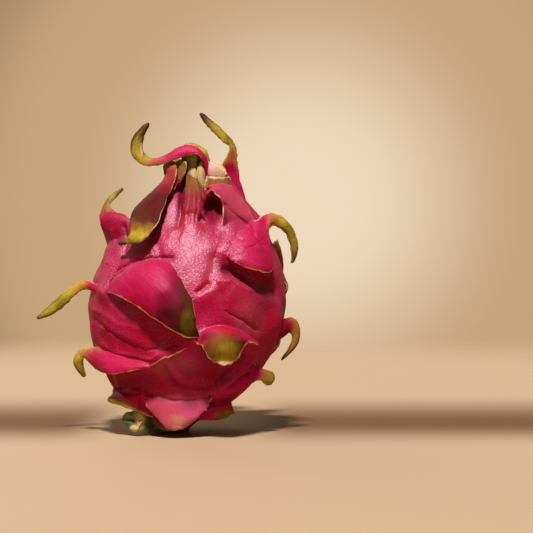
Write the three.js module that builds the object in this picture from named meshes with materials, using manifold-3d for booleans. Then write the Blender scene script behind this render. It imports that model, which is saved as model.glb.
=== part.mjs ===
// A whole red dragon fruit (pitaya) standing on its stem end. Millimetres, +Z up.
// The origin is the middle of the small flat spot that the fruit rests on. -Y is the front.
//
// The fruit is one grown piece: an egg-shaped body with leathery scales (bracts) that grow out
// of its skin. Each scale is a thin blade laid along a line of ribs, and all of them are fused
// to the body. The cut stem and the dried remains of the flower are pieces of their own.

import * as THREE from 'three';
import { mergeVertices } from 'three/addons/utils/BufferGeometryUtils.js';
import Module from 'manifold-3d';

const wasm = await Module();
wasm.setup();

// ---- Driving dimensions -------------------------------------------------------------------

const BODY_HEIGHT = 113;
// Height of the body and its radius there, from the resting spot to the rim of the crown.
const BODY_PROFILE = [
  [0, 9.5], [3, 13], [7, 18.8], [12, 24.4], [20, 30.4], [30, 35.8], [42, 41], [55, 43.2],
  [68, 41.4], [80, 36.4], [92, 28.8], [102, 21.8], [108, 17], [113, 12.5],
];
const LEAN = 0.075; // the body's middle moves this far to the right for each mm of height
const CRATER_DEPTH = 9; // of the hollow inside the crown, where the flower sat
const CRATER_SHARE = 0.78; // its width at half depth, of the rim's
const BODY_SIDES = 48;
const BODY_ROWS = 22;
const RELIEF_FADE = 9; // relief grows from nothing to full over this height above the floor

const SCALE_THICKNESS = 1.5; // at a scale's middle near its root
const TIP_THICKNESS = 1.0;
const MARGIN_SHARE = 0.6; // how thick a scale's edge is, of its middle
const SWELL_HEIGHT = 2.0; // of the skin where a scale grows out of it
const SWELL_REACH = 6; // along the scale
const TANGENT_STEP = 0.01; // of a scale's length, to find its direction
const CLEARANCE = 0.35; // between the fruit and the pieces that stand in it
const SMALLEST = 0.02; // faces narrower than this, left by joining, are taken out

// The cut stem, from inside the fruit's foot to its cut end.
const STEM = { from: [-3, -4, 5], to: [-18, -18.5, 6.8], radius: 4.7, ridges: 3, ridge: 0.2 };
const STEM_SIDES = 24;
const STEM_RINGS = 5;

// The dried flower in the crown: a plug and thin folded strips that stand on it.
const PLUG_RADIUS = 5.5;
const PLUG_HEIGHT = 5;
const STRIPS = 8;
const STRIP_HEIGHT = 15;
const STRIP_HALF = 2.3;

// ---- Curves -------------------------------------------------------------------------------

const DEG = Math.PI / 180;
const mix = (a, b, t) => a + (b - a) * t;
const clamp01 = (t) => Math.min(1, Math.max(0, t));
const smooth = (t) => clamp01(t) ** 2 * (3 - 2 * clamp01(t));

// A smooth curve through rows [x, y] at x.
function curveAt(rows, x) {
  const last = rows.length - 1;
  const slope = (i) => {
    const [a, b] = [rows[Math.max(0, i - 1)], rows[Math.min(last, i + 1)]];
    return (b[1] - a[1]) / (b[0] - a[0]);
  };
  if (x <= rows[0][0]) return rows[0][1];
  if (x >= rows[last][0]) return rows[last][1];
  const i = rows.findIndex((row) => row[0] > x) - 1;
  const [[x0, y0], [x1, y1]] = [rows[i], rows[i + 1]];
  const [span, t] = [x1 - x0, (x - x0) / (x1 - x0)];
  return (2 * t ** 3 - 3 * t ** 2 + 1) * y0 + (t ** 3 - 2 * t ** 2 + t) * span * slope(i)
    + (3 * t ** 2 - 2 * t ** 3) * y1 + (t ** 3 - t ** 2) * span * slope(i + 1);
}

// A Catmull-Rom curve through rows of numbers, from the first at t = 0 to the last at t = 1.
function rowsAt(rows, t) {
  const last = rows.length - 1;
  const i = Math.min(last - 1, Math.floor(t * last));
  const f = t * last - i;
  const row = (k) => rows[Math.min(last, Math.max(0, k))];
  const [a, b, c, d] = [row(i - 1), row(i), row(i + 1), row(i + 2)];
  return b.map((_, k) => 0.5 * (2 * b[k] + (c[k] - a[k]) * f
    + (2 * a[k] - 5 * b[k] + 4 * c[k] - d[k]) * f ** 2
    + (3 * b[k] - a[k] - 3 * c[k] + d[k]) * f ** 3));
}

// ---- Places on the fruit ------------------------------------------------------------------

const radiusAt = (z) => curveAt(BODY_PROFILE, z);

// Where the front drawing is seen from: this far right of the origin, above it and before it.
const EYE = { x: 39, z: 72.5, distance: 650 };

// A place drawn at x and z on the upright plane through the origin, carried along the line of
// sight to the depth y.
function drawn(x, z, y) {
  const near = (EYE.distance + y) / EYE.distance;
  return [mix(EYE.x, x, near), y, mix(EYE.z, z, near)];
}

// The same, carried to the smooth body's skin and lifted off it.
function seen(x, z, lift) {
  let place = [x, 0, z];
  for (let step = 0; step < 12; step += 1) {
    const r = radiusAt(place[2]) + lift;
    const side = place[0] - LEAN * place[2];
    place = drawn(x, z, -Math.sqrt(Math.max(0, r ** 2 - side ** 2)));
  }
  return place;
}

// A place on the skin at an azimuth in degrees (0 in front, 90 at the right) and a height,
// lifted off it and moved sideways along it.
function skin(azimuth, z, lift, side = 0) {
  const r = radiusAt(z) + lift;
  const [out, along] = [azimuth * DEG, (azimuth + 90) * DEG];
  return [
    LEAN * z + r * Math.sin(out) + side * Math.sin(along),
    -r * Math.cos(out) - side * Math.cos(along),
    z,
  ];
}

// ---- The scales that show in front --------------------------------------------------------

// A scale is a blade between two edges, a and b, from its root to its tip. Each edge is a list
// of places, and both have the same number of them. middle, if given, is the line between
// them. Without it the blade is bowed outwards by bow, of half its width, at the root and at
// the tip. ruffle is the height of the waves along the edges.
const FRONT_SCALES = [
  { name: 'front flap', size: 'large', ruffle: 0.4,
    a: [seen(-33.5, 61, -3), seen(-33.5, 60, 1), seen(-24, 58.5, 4.5), seen(-13, 51, 6),
      seen(-4, 45.5, 6.5), seen(4, 41.6, 5.5), seen(8.4, 41.2, 3.5)],
    middle: [seen(-20, 71.5, -3), seen(-18, 72, 3.5), seen(-8, 64.5, 8.5), seen(-3, 56, 9.5),
      seen(2, 49.5, 9), seen(6, 44.5, 6.5), seen(8.8, 42, 3.7)],
    b: [seen(-5, 73.5, -3), seen(-3.5, 74, 2.5), seen(1.5, 66.5, 4), seen(4.8, 60.5, 5),
      seen(7, 52.5, 5.5), seen(8, 46.5, 5), seen(9.1, 42.8, 3.5)] },
  { name: 'lower flap', size: 'large', ruffle: 0.8,
    a: [seen(7, 40.5, -3), seen(7, 40.5, 3), seen(8, 39.8, 6), seen(9, 38.8, 7.5),
      seen(9.4, 37.6, 8)],
    middle: [seen(19.5, 48, -3), seen(19.5, 45, 5), seen(20, 40, 9.5),
      seen(20.2, 34, 11.5), seen(20.4, 28.4, 11.5)],
    b: [seen(35, 39, -3), seen(35, 38.6, 3), seen(34.6, 37.4, 6), seen(33.4, 37.2, 7.5),
      seen(31, 38.4, 8.5)] },
  { name: 'right hood', size: 'claw', ruffle: 0.5, bow: [0.2, 0.3],
    a: [seen(18, 84, -3), seen(24, 86, 0), seen(30, 89, 1.5), drawn(34.3, 92.6, -13),
      drawn(36.8, 94.4, -10), drawn(39, 95.3, -8), drawn(41.3, 95.6, -7),
      drawn(44, 95.2, -6.5), drawn(47, 93.3, -6), drawn(50, 89.7, -6), drawn(52.2, 84.5, -6),
      drawn(52.7, 79.5, -6), drawn(51, 74.3, -6)],
    b: [seen(19, 75, -3), seen(24, 74.4, 2.5), seen(30, 72.4, 5), seen(36, 71, 6),
      seen(40, 70.8, 6), drawn(41, 79, -20), drawn(39.5, 86.8, -14), drawn(41, 89.8, -10),
      drawn(44.5, 89.3, -8), drawn(47.2, 87.3, -7), drawn(49.3, 83.2, -7),
      drawn(49.8, 78.5, -7), drawn(49.6, 73.8, -6.5)] },
  { name: 'pocket scale', size: 'large', ruffle: 0.3, bow: [0.25, 0.1],
    a: [seen(11.4, 95, -2.5), seen(11.2, 101, 4), seen(12.8, 105, 8), seen(15, 106, 9),
      seen(17.4, 104, 9), seen(19, 99.8, 8), seen(20, 93.5, 5.5), seen(21.5, 87.5, 2),
      seen(23, 84, -3)],
    b: [seen(11.2, 104, -2.5), seen(12.5, 107.5, 3), seen(15.8, 109.4, 6), seen(19.6, 110, 7),
      seen(24.2, 107.8, 6.5), seen(27.7, 103.4, 5), seen(30.8, 98, 4), seen(33.5, 92.5, 2),
      seen(34, 88, -3)] },
  { name: 'left tongue', size: 'claw', ruffle: 0.4, bow: [-0.1, -0.3],
    a: [drawn(-4, 106.5, -5), drawn(-5.6, 113.8, -9), seen(-6, 112.5, 1.5), seen(-8.5, 107.5, 2.5),
      seen(-13.2, 103, 3.5), seen(-18.5, 99, 4), seen(-20.8, 93.7, 5), seen(-20.9, 89, 6),
      seen(-20.8, 85.2, 6), seen(-23, 83.8, 6), seen(-26.8, 81.4, 6)],
    b: [drawn(1.5, 106.5, -11), drawn(-1.6, 116.6, -12), seen(-0.5, 112.5, 4), seen(-2.6, 107.4, 5),
      seen(-4.8, 102.5, 6), seen(-6.6, 98, 6.5), seen(-8.4, 93.7, 7.5), seen(-10.6, 89.3, 8),
      seen(-13.6, 85.6, 7.5), seen(-18, 82.6, 7), seen(-26.4, 80.8, 6.2)] },
  { name: 'left horn', size: 'horn', ruffle: 0.2, bow: [0.3, 0.5],
    a: [seen(-27, 79, -3), drawn(-30.6, 88, -10), drawn(-33.8, 92, -9), drawn(-34, 96, -9),
      drawn(-32, 99.6, -9), drawn(-29.2, 102.8, -9), drawn(-26.4, 105.2, -9),
      drawn(-24, 106.8, -9)],
    b: [seen(-20, 82, -3), drawn(-23, 91.6, -15), drawn(-26, 95, -13), drawn(-29, 96.8, -12),
      drawn(-29.3, 99.2, -11), drawn(-27.3, 101.4, -10.5), drawn(-25.3, 103.6, -10),
      drawn(-23.6, 106, -9.5)] },
  { name: 'long left horn', size: 'horn', ruffle: 0.3, bow: [0.3, 0.5],
    a: [seen(-29, 65, -3), drawn(-35, 64.6, -19), drawn(-39, 66, -13), drawn(-43, 66.2, -12),
      drawn(-47.4, 63, -12), drawn(-52, 59.3, -12), drawn(-57.2, 54.6, -12),
      drawn(-62.3, 50, -12)],
    b: [seen(-29, 57.5, -3), drawn(-35, 60.4, -20), drawn(-38.2, 62, -15),
      drawn(-41.6, 62.2, -13), drawn(-45.8, 59.4, -13), drawn(-49, 56.2, -13),
      drawn(-54.6, 51.8, -13), drawn(-62, 48.8, -12.5)] },
  { name: 'lower left claw', size: 'claw', ruffle: 0.3, bow: [0.1, 0.5],
    a: [seen(6, 43, -3), seen(0, 39, -1), seen(-8, 36.5, 0), seen(-15, 36.6, 1),
      seen(-24, 37, 1.5), seen(-31, 36.8, 2), drawn(-36.5, 36.2, -14), drawn(-39.6, 35.9, -9),
      drawn(-43, 35.6, -6), drawn(-45.2, 32, -6), drawn(-44.6, 27.5, -6),
      drawn(-41.4, 23.8, -6)],
    b: [seen(5.2, 39.6, -2), seen(0, 35.2, 2.5), seen(-8, 32, 3), seen(-13.4, 27.8, 4),
      seen(-22, 25.7, 5.5), seen(-30, 25, 6), drawn(-35.6, 27.2, -19),
      drawn(-38.8, 30.3, -13), drawn(-41, 32.2, -10), drawn(-41.7, 30.6, -9),
      drawn(-41.4, 27.6, -8), drawn(-40.4, 24, -6.5)] },
  { name: 'bottom left lobe', size: 'lobe', ruffle: 0.4,
    a: [seen(-27, 20, -3), seen(-29.5, 15.5, 3), seen(-31.6, 13, 5)],
    middle: [seen(-20, 19, -3), seen(-21, 14.5, 4), seen(-22.5, 10.2, 7)],
    b: [seen(-11, 17, -3), seen(-11.5, 12.5, 3), seen(-12.5, 8.2, 5)] },
  { name: 'bottom lobe', size: 'large', ruffle: 0.5,
    a: [seen(-15, 17, -3), seen(-14.8, 13.8, 4), seen(-12, 8.8, 6.5), seen(-7.5, 4, 7.5),
      seen(-3.4, 1, 7.5)],
    middle: [seen(-1, 20, -3), seen(-1, 15.5, 5), seen(-0.8, 8, 8.5), seen(-0.7, 3, 9),
      seen(-0.8, 0, 8.5)],
    b: [seen(14, 16, -3), seen(14, 13.4, 4), seen(10.8, 7.4, 6.5), seen(5.6, 3.6, 7.5),
      seen(1.8, 1.1, 7.5)] },
  { name: 'bottom right lobe', size: 'lobe', ruffle: 0.3,
    a: [seen(11, 12.5, -3), seen(10.5, 8.5, 3), seen(9.5, 6.2, 4.5)],
    middle: [seen(18, 15, -3), seen(18, 9.5, 4), seen(17, 5, 6.5)],
    b: [seen(23.5, 16, -3), seen(23.3, 11, 3.5), seen(24.8, 8, 6.5)] },
  { name: 'right claw', size: 'horn', ruffle: 0.3, bow: [0.3, 0.4],
    a: [seen(21, 24, -3), seen(27, 25.4, 2), seen(32, 27, 3.5), drawn(36, 27.3, -15),
      drawn(40, 26.5, -13), drawn(42, 25.4, -12), drawn(42.3, 22.6, -12)],
    b: [seen(21, 16, -3), seen(25, 16, 2), seen(29.5, 19, 4), drawn(34.8, 22.3, -18),
      drawn(37.2, 21.2, -16), drawn(38.7, 20.2, -14), drawn(40.8, 20.6, -13)] },
  { name: 'far right horn', size: 'horn', ruffle: 0.3, bow: [0.3, 0.5],
    a: [seen(38, 52, -3), drawn(43.5, 49, -12), drawn(47, 49.8, -6), drawn(50.2, 49.8, -4),
      drawn(52.8, 47.4, -4), drawn(53.5, 43, -4), drawn(52, 37.6, -4),
      drawn(45.6, 31.4, -4)],
    b: [seen(38, 40, -3), drawn(42.6, 39.5, -12), drawn(46.4, 41.6, -7), drawn(48.8, 43.4, -5),
      drawn(49.8, 42.4, -4.5), drawn(50, 39.6, -4.5), drawn(48, 35.4, -4.5),
      drawn(45.1, 31.9, -4.5)] },
  { name: 'right rear scale', size: 'small', ruffle: 0.2, bow: [0.3, 0.3],
    a: [drawn(37, 62, 2), drawn(40.6, 70, 2), drawn(41.4, 78, 2), drawn(42.2, 84, 2)],
    b: [drawn(41, 58, 14), drawn(45.4, 68, 10), drawn(45.4, 78, 7), drawn(43.2, 84.6, 4)] },
];

// ---- The crown ----------------------------------------------------------------------------

const CROWN_SCALES = [
  { name: 'crown ribbon', size: 'ribbon', ruffle: 0.3, bow: [0.1, 0.7],
    a: [drawn(14.5, 106, -11), drawn(12, 118, -11), drawn(9.7, 123.3, -12), drawn(5.3, 125.4, -13),
      drawn(0.9, 124.8, -13), drawn(-3.5, 122.3, -13), drawn(-7.9, 120.3, -13),
      drawn(-12.3, 120.3, -12.5), drawn(-15.2, 122.3, -12), drawn(-16.4, 125.8, -12),
      drawn(-16, 129.6, -12), drawn(-14.2, 132.7, -12), drawn(-12.4, 134.6, -12)],
    b: [drawn(8.5, 105, -12), drawn(9.2, 115, -12.5), drawn(8.3, 120.2, -13.5),
      drawn(4, 120.9, -14), drawn(0, 119.2, -14), drawn(-4.4, 117.6, -14),
      drawn(-8.8, 116.7, -14), drawn(-13.5, 116.8, -13.5), drawn(-18, 119.2, -13),
      drawn(-20.2, 123.5, -12.5), drawn(-20.3, 128, -12.5), drawn(-17.7, 132, -12.5),
      drawn(-13.4, 135.6, -12.3)] },
  { name: 'tall horn', size: 'claw', ruffle: 0.3, bow: [-0.3, 0.5],
    a: [skin(70, 92, -3), drawn(22, 104, -3), drawn(22, 110.6, -1), drawn(20, 116.8, -1),
      drawn(21.8, 122, 0), drawn(20.6, 125.8, 0), drawn(16.4, 129.8, 0),
      drawn(12.4, 133.8, 0), drawn(9.8, 139, 0)],
    b: [skin(104, 92, -3), drawn(29.2, 102, 5), drawn(27, 110.6, 4), drawn(26.4, 117, 3),
      drawn(25.8, 122.8, 2), drawn(23.5, 128, 1.5), drawn(19.5, 133, 1),
      drawn(14.7, 137.3, 0.5), drawn(10.6, 140.4, 0)] },
  { name: 'crown green scale', size: 'small', ruffle: 0.3, bow: [0.3, 0.4],
    a: [drawn(19.5, 107, -3), drawn(16, 116, -6), drawn(13.6, 121.3, -7), drawn(11.4, 124.2, -8),
      drawn(7, 126.4, -8.5), drawn(2.2, 126, -9)],
    b: [drawn(14.5, 105, -9), drawn(10.4, 115.5, -9.5), drawn(7.5, 120.3, -9), drawn(5.4, 122.4, -9),
      drawn(3.4, 124, -9.3), drawn(1.6, 124.8, -9.3)] },
  { name: 'neck scale', size: 'small', ruffle: 0.2, bow: [0.5, 0.5],
    a: [seen(4, 97, -2.5), seen(3.6, 102.5, 1.5), seen(3.6, 108, 3), seen(4.2, 112.8, 4)],
    b: [seen(10.5, 97, -2.5), seen(11, 102, 1.5), seen(11, 106.5, 3), seen(10.4, 109.6, 4)] },
  { name: 'inner left scale', size: 'small', ruffle: 0.2, bow: [0.5, 0.5],
    a: [seen(-6, 98, -2.5), seen(-4, 104.5, 2), seen(-1.8, 110.5, 3.5), seen(-0.4, 116, 4),
      seen(1, 119, 4)],
    b: [seen(2.5, 98, -2.5), seen(3.2, 105, 1.5), seen(3.6, 111, 3), seen(3.4, 116, 3.5),
      seen(2.2, 119.4, 4)] },
  { name: 'broken scale', size: 'small', ruffle: 0.3, bow: [0.5, 0.4],
    a: [seen(12.5, 102, -2.5), seen(12.4, 108, 1.5), seen(12.6, 112.6, 3), seen(13.4, 117, 4)],
    b: [seen(22.5, 102, -2.5), seen(22.6, 108, 1.5), seen(22.4, 112.6, 2.5),
      seen(20, 117.4, 3.5)] },
];

// ---- The scales behind --------------------------------------------------------------------

// Behind, the scales stand in rows, each row turned half a step from the one below it. Low
// ones are short and broad, high ones long and narrow, and those of the crown short again.
const BACK_ROWS = [
  { z: 16, count: 3, from: 136, to: 226, length: 19, half: 9.5 },
  { z: 35, count: 4, from: 120, to: 240, length: 22, half: 9 },
  { z: 56, count: 4, from: 116, to: 236, length: 25, half: 8.5 },
  { z: 77, count: 4, from: 124, to: 242, length: 28, half: 7.5 },
  { z: 93, count: 3, from: 162, to: 222, length: 27, half: 7 },
  { z: 104, count: 3, from: 154, to: 216, length: 16, half: 6 },
];
const BACK_STEPS = 4;
const CURL_REACH = 42; // degrees off the back, up to where the scales turn outwards and over
const FLAT_LIFT = 2; // of the scales beyond it, which lie along the skin
const SEED = 20;

// A seeded source of numbers from 0 to 1.
function randomSource(seed) {
  let state = seed;
  return () => {
    state = (Math.imul(state, 1664525) + 1013904223) >>> 0;
    return state / 2 ** 32;
  };
}

// A scale that leaves the skin upwards and turns outwards and over. curl goes from 0, lying
// along the skin, to 1, turned right over.
function turnedScale(name, row, azimuth, z, curl, random) {
  const length = row.length * mix(0.85, 1.1, random()) * mix(0.7, 1, curl);
  const half = row.half * mix(0.85, 1.15, random());
  const turn = mix(8, mix(65, 125, random()), curl);
  const drift = mix(-10, 10, random());
  const [a, b] = [[skin(azimuth, z - 3, -3, -half)], [skin(azimuth, z - 3, -3, half)]];
  let [up, out] = [z, 0.5];
  for (let k = 1; k <= BACK_STEPS; k += 1) {
    const share = k / BACK_STEPS;
    const pitch = (84 - turn * share ** 1.3) * DEG;
    up += Math.sin(pitch) * length / BACK_STEPS;
    out += Math.cos(pitch) * length / BACK_STEPS;
    const lift = mix(FLAT_LIFT, out + radiusAt(z) - radiusAt(up), curl);
    const width = half * (1 - share ** 2) + 0.5;
    a.push(skin(azimuth + drift * share ** 2, up, lift, -width));
    b.push(skin(azimuth + drift * share ** 2, up, lift, width));
  }
  return { name, size: 'small', ruffle: 0.4, bow: [0.4, 0.3], a, b };
}

function backScales() {
  const random = randomSource(SEED);
  return BACK_ROWS.flatMap((row, r) => Array.from({ length: row.count }, (_, k) => {
    const azimuth = mix(row.from, row.to, k / (row.count - 1)) + mix(-4, 4, random());
    const curl = smooth((CURL_REACH + 12 - Math.abs(azimuth - 180)) / 24);
    const z = row.z + mix(-3, 3, random());
    return turnedScale(`back scale ${r + 1}.${k + 1}`, row, azimuth, z, curl, random);
  }));
}

const SCALES = [...FRONT_SCALES, ...CROWN_SCALES, ...backScales()];

// ---- Relief of the skin -------------------------------------------------------------------

// Folds and grooves that run over the skin from one [azimuth, height] to another.
const FOLDS = [
  { from: [26, 96], to: [14, 66], height: -1.3, spread: 2.6 },
  { from: [9, 62], to: [14, 65], height: -1.2, spread: 1.2 },
  { from: [14, 61], to: [52, 46], height: -1.2, spread: 2.6 },
  { from: [-24, 84], to: [-16, 75], height: -0.9, spread: 1.6 },
  { from: [-54, 56], to: [-14, 42], height: -1.5, spread: 3 },
  { from: [-50, 47], to: [-12, 37], height: 1.3, spread: 3.5 },
  { from: [-20, 28], to: [20, 24], height: -1.4, spread: 3 },
  { from: [-66, 76], to: [-50, 64], height: 1.2, spread: 4 },
  { from: [28, 74], to: [20, 78], height: -1.6, spread: 2.4 },
  { from: [60, 62], to: [78, 34], height: 1.2, spread: 5 },
  { from: [16, 94], to: [20, 102], height: -3, spread: 5 },
  { from: [34, 70], to: [62, 62], height: -2.5, spread: 4.5 },
  { from: [-72, 24], to: [-24, 27], height: -2.2, spread: 4.5 },
  { from: [8, 31], to: [36, 26], height: -2, spread: 4.5 },
];

function bump(distance, spread) {
  return Math.exp(-((distance / spread) ** 2));
}

const turnOf = (azimuth) => ((azimuth + 540) % 360) - 180;

// The root of a scale: its azimuth and height, its heading over the skin, its half width and
// its distance from the axis.
function rootOf({ a, b }) {
  const centre = (k) => a[k].map((value, i) => (value + b[k][i]) / 2);
  const [from, to] = [centre(0), centre(1)].map(([x, y, z]) => {
    const side = x - LEAN * z;
    return { azimuth: Math.atan2(side, -y) / DEG, z, reach: Math.hypot(side, y) };
  });
  const across = turnOf(to.azimuth - from.azimuth) * DEG * from.reach;
  const length = Math.hypot(across, to.z - from.z) || 1;
  const half = Math.hypot(...a[0].map((value, i) => value - b[0][i])) / 2;
  return {
    from: [from.azimuth, from.z], heading: [across / length, (to.z - from.z) / length],
    half, reach: from.reach,
  };
}

const ROOTS = SCALES.map(rootOf);

// How far the skin stands out of the smooth body at an azimuth and a height.
function reliefAt(azimuth, z) {
  const r = radiusAt(z);
  const away = (from) => [
    turnOf(azimuth - from[0]) * DEG * r,
    z - from[1],
  ];
  let relief = 0;
  for (const { from, to, height, spread } of FOLDS) {
    const [dx, dz] = away(from);
    const [ex, ez] = [(to[0] - from[0]) * DEG * r, to[1] - from[1]];
    const t = clamp01((dx * ex + dz * ez) / (ex ** 2 + ez ** 2));
    relief += height * bump(Math.hypot(dx - t * ex, dz - t * ez), spread);
  }
  for (const { from, heading, half, reach } of ROOTS) {
    if (reach < radiusAt(from[1]) - 6) continue; // a scale of the crown grows from its hollow
    const [dx, dz] = away(from);
    const ahead = dx * heading[0] + dz * heading[1];
    const aside = dx * heading[1] - dz * heading[0];
    relief += SWELL_HEIGHT * bump(ahead, SWELL_REACH) * bump(aside, Math.max(4, half * 0.8));
  }
  return relief * smooth(z / RELIEF_FADE) * smooth((BODY_HEIGHT - z) / RELIEF_FADE);
}

// ---- Solids -------------------------------------------------------------------------------

function solidOf(geometry) {
  const bare = geometry.clone();
  bare.deleteAttribute('normal');
  bare.deleteAttribute('uv');
  const merged = mergeVertices(bare, 1e-4);
  return new wasm.Manifold(new wasm.Mesh({
    numProp: 3,
    vertProperties: new Float32Array(merged.attributes.position.array),
    triVerts: new Uint32Array(merged.index.array),
  }));
}

function geometryOf(solid) {
  const { numProp, vertProperties, triVerts } = solid.getMesh();
  const count = vertProperties.length / numProp;
  const positions = new Float32Array(count * 3);
  for (let i = 0; i < count; i += 1) {
    positions.set(vertProperties.subarray(i * numProp, i * numProp + 3), i * 3);
  }
  const geometry = new THREE.BufferGeometry();
  geometry.setAttribute('position', new THREE.BufferAttribute(positions, 3));
  geometry.setIndex(new THREE.BufferAttribute(new Uint32Array(triVerts), 1));
  const flat = geometry.toNonIndexed();
  flat.computeVertexNormals();
  return flat;
}

const union = (solids) => solids.reduce((all, solid) => all.add(solid));

// The egg-shaped body, turned on a lathe, leant over and given its relief. grow makes it
// larger all round.
function bodySolid(grow = 0) {
  const outline = [new THREE.Vector2(0, 0)];
  for (let k = 0; k <= BODY_ROWS; k += 1) {
    const z = BODY_HEIGHT * (1 - Math.cos(Math.PI * k / BODY_ROWS)) / 2;
    outline.push(new THREE.Vector2(radiusAt(z), z));
  }
  const rim = radiusAt(BODY_HEIGHT);
  outline.push(new THREE.Vector2(rim * CRATER_SHARE, BODY_HEIGHT - CRATER_DEPTH / 2));
  outline.push(new THREE.Vector2(0, BODY_HEIGHT - CRATER_DEPTH));
  const geometry = new THREE.LatheGeometry(outline, BODY_SIDES);
  const p = geometry.attributes.position;
  for (let i = 0; i < p.count; i += 1) {
    const [x, z, depth] = [p.getX(i), p.getY(i), p.getZ(i)];
    const r = Math.hypot(x, depth);
    const outer = r > radiusAt(z) - 0.01;
    const azimuth = Math.atan2(x, -depth);
    const out = outer ? r + grow + reliefAt(azimuth / DEG, z) : r;
    p.setXYZ(i, LEAN * z + out * Math.sin(azimuth), -out * Math.cos(azimuth), z);
  }
  const solid = solidOf(geometry);
  return solid.volume() < 0 ? solidOf(flipped(geometry)) : solid;
}

function flipped(geometry) {
  const copy = geometry.clone();
  const index = copy.index.array;
  for (let i = 0; i < index.length; i += 3) {
    [index[i + 1], index[i + 2]] = [index[i + 2], index[i + 1]];
  }
  return copy;
}

// Steps across and along a blade.
const GRIDS = {
  large: [6, 10], ribbon: [4, 18], claw: [4, 15], horn: [4, 11], lobe: [6, 5], small: [4, 5],
};

// The places of a scale's sheet at t along it: its two edges, the line between them and the
// outward direction. The last good direction across is kept where the edges meet at the tip.
function rowOf(scale, t, before) {
  const at = (edge, share) => new THREE.Vector3(...rowsAt(scale[edge], clamp01(share)));
  const [a, b] = [at('a', t), at('b', t)];
  const across = b.clone().sub(a);
  const half = across.length() / 2;
  const ahead = at('a', t + TANGENT_STEP).add(at('b', t + TANGENT_STEP));
  const along = ahead.sub(at('a', t - TANGENT_STEP)).sub(at('b', t - TANGENT_STEP));
  const out = along.cross(across).normalize();
  if (before && out.dot(before.out) < 0) out.negate();
  if (!before && out.dot(a.clone().setZ(0)) < 0) out.negate();
  const bow = scale.bow ?? [0, 0];
  const middle = scale.middle ? at('middle', t)
    : a.clone().add(b).multiplyScalar(0.5).addScaledVector(out, mix(bow[0], bow[1], t) * half);
  return { a, b, middle, out };
}

// A scale as a closed blade: a sheet and its copy set back by the thickness, split into
// triangles alike, and a rim between them. grow thickens it.
function scaleSolid(scale, grow = 0) {
  const [acrossSteps, alongSteps] = GRIDS[scale.size];
  const row = acrossSteps + 1;
  const count = row * (alongSteps + 1);
  const positions = new Float32Array(count * 6);
  let line = null;
  for (let i = 0; i < count; i += 1) {
    const [t, v] = [Math.floor(i / row) / alongSteps, 2 * (i % row) / acrossSteps - 1];
    if (i % row === 0) line = rowOf(scale, t, line);
    const place = line.middle.clone().multiplyScalar(1 - v ** 2)
      .addScaledVector(line.a, (v ** 2 - v) / 2).addScaledVector(line.b, (v ** 2 + v) / 2)
      .addScaledVector(line.out, scale.ruffle * Math.sin(t * 11 + v * 1.5) * Math.abs(v) ** 3);
    const thickness = mix(SCALE_THICKNESS, TIP_THICKNESS, t) * mix(1, MARGIN_SHARE, v ** 2);
    const reach = thickness / 2 + grow;
    place.clone().addScaledVector(line.out, reach).toArray(positions, i * 3);
    place.addScaledVector(line.out, -reach).toArray(positions, (count + i) * 3);
  }
  const index = [];
  for (let i = 0; i < count - row; i += 1) {
    if (i % row === acrossSteps) continue;
    for (const [a, b, c] of [[i, i + 1, i + row], [i + 1, i + row + 1, i + row]]) {
      index.push(a, b, c, a + count, c + count, b + count);
    }
  }
  const rim = [];
  for (let i = 0; i < acrossSteps; i += 1) rim.push(i);
  for (let k = 0; k < alongSteps; k += 1) rim.push(k * row + acrossSteps);
  for (let i = acrossSteps; i > 0; i -= 1) rim.push(alongSteps * row + i);
  for (let k = alongSteps; k > 0; k -= 1) rim.push(k * row);
  rim.forEach((a, k) => {
    const b = rim[(k + 1) % rim.length];
    index.push(b, a, a + count, b + count, b, a + count);
  });
  const geometry = new THREE.BufferGeometry();
  geometry.setAttribute('position', new THREE.BufferAttribute(positions, 3));
  geometry.setIndex(index);
  const solid = solidOf(geometry);
  return solid.volume() < 0 ? solidOf(flipped(geometry)) : solid;
}

// The cut stem, with ridges along it and trimmed flat where it rests.
function stemSolid() {
  const geometry = new THREE.CylinderGeometry(
    STEM.radius, STEM.radius * 1.15, 1, STEM_SIDES, STEM_RINGS,
  );
  const [from, to] = [new THREE.Vector3(...STEM.from), new THREE.Vector3(...STEM.to)];
  const p = geometry.attributes.position;
  const way = to.clone().sub(from);
  const turn = new THREE.Quaternion().setFromUnitVectors(
    new THREE.Vector3(0, 1, 0), way.clone().normalize(),
  );
  for (let i = 0; i < p.count; i += 1) {
    const point = new THREE.Vector3().fromBufferAttribute(p, i);
    const angle = Math.atan2(point.z, point.x);
    const ridge = 1 + STEM.ridge * Math.cos(STEM.ridges * angle);
    point.set(point.x * ridge, (point.y + 0.5) * way.length(), point.z * ridge);
    point.applyQuaternion(turn).add(from);
    p.setXYZ(i, point.x, point.y, point.z);
  }
  return solidOf(geometry).trimByPlane([0, 0, 1], 0);
}

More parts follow.
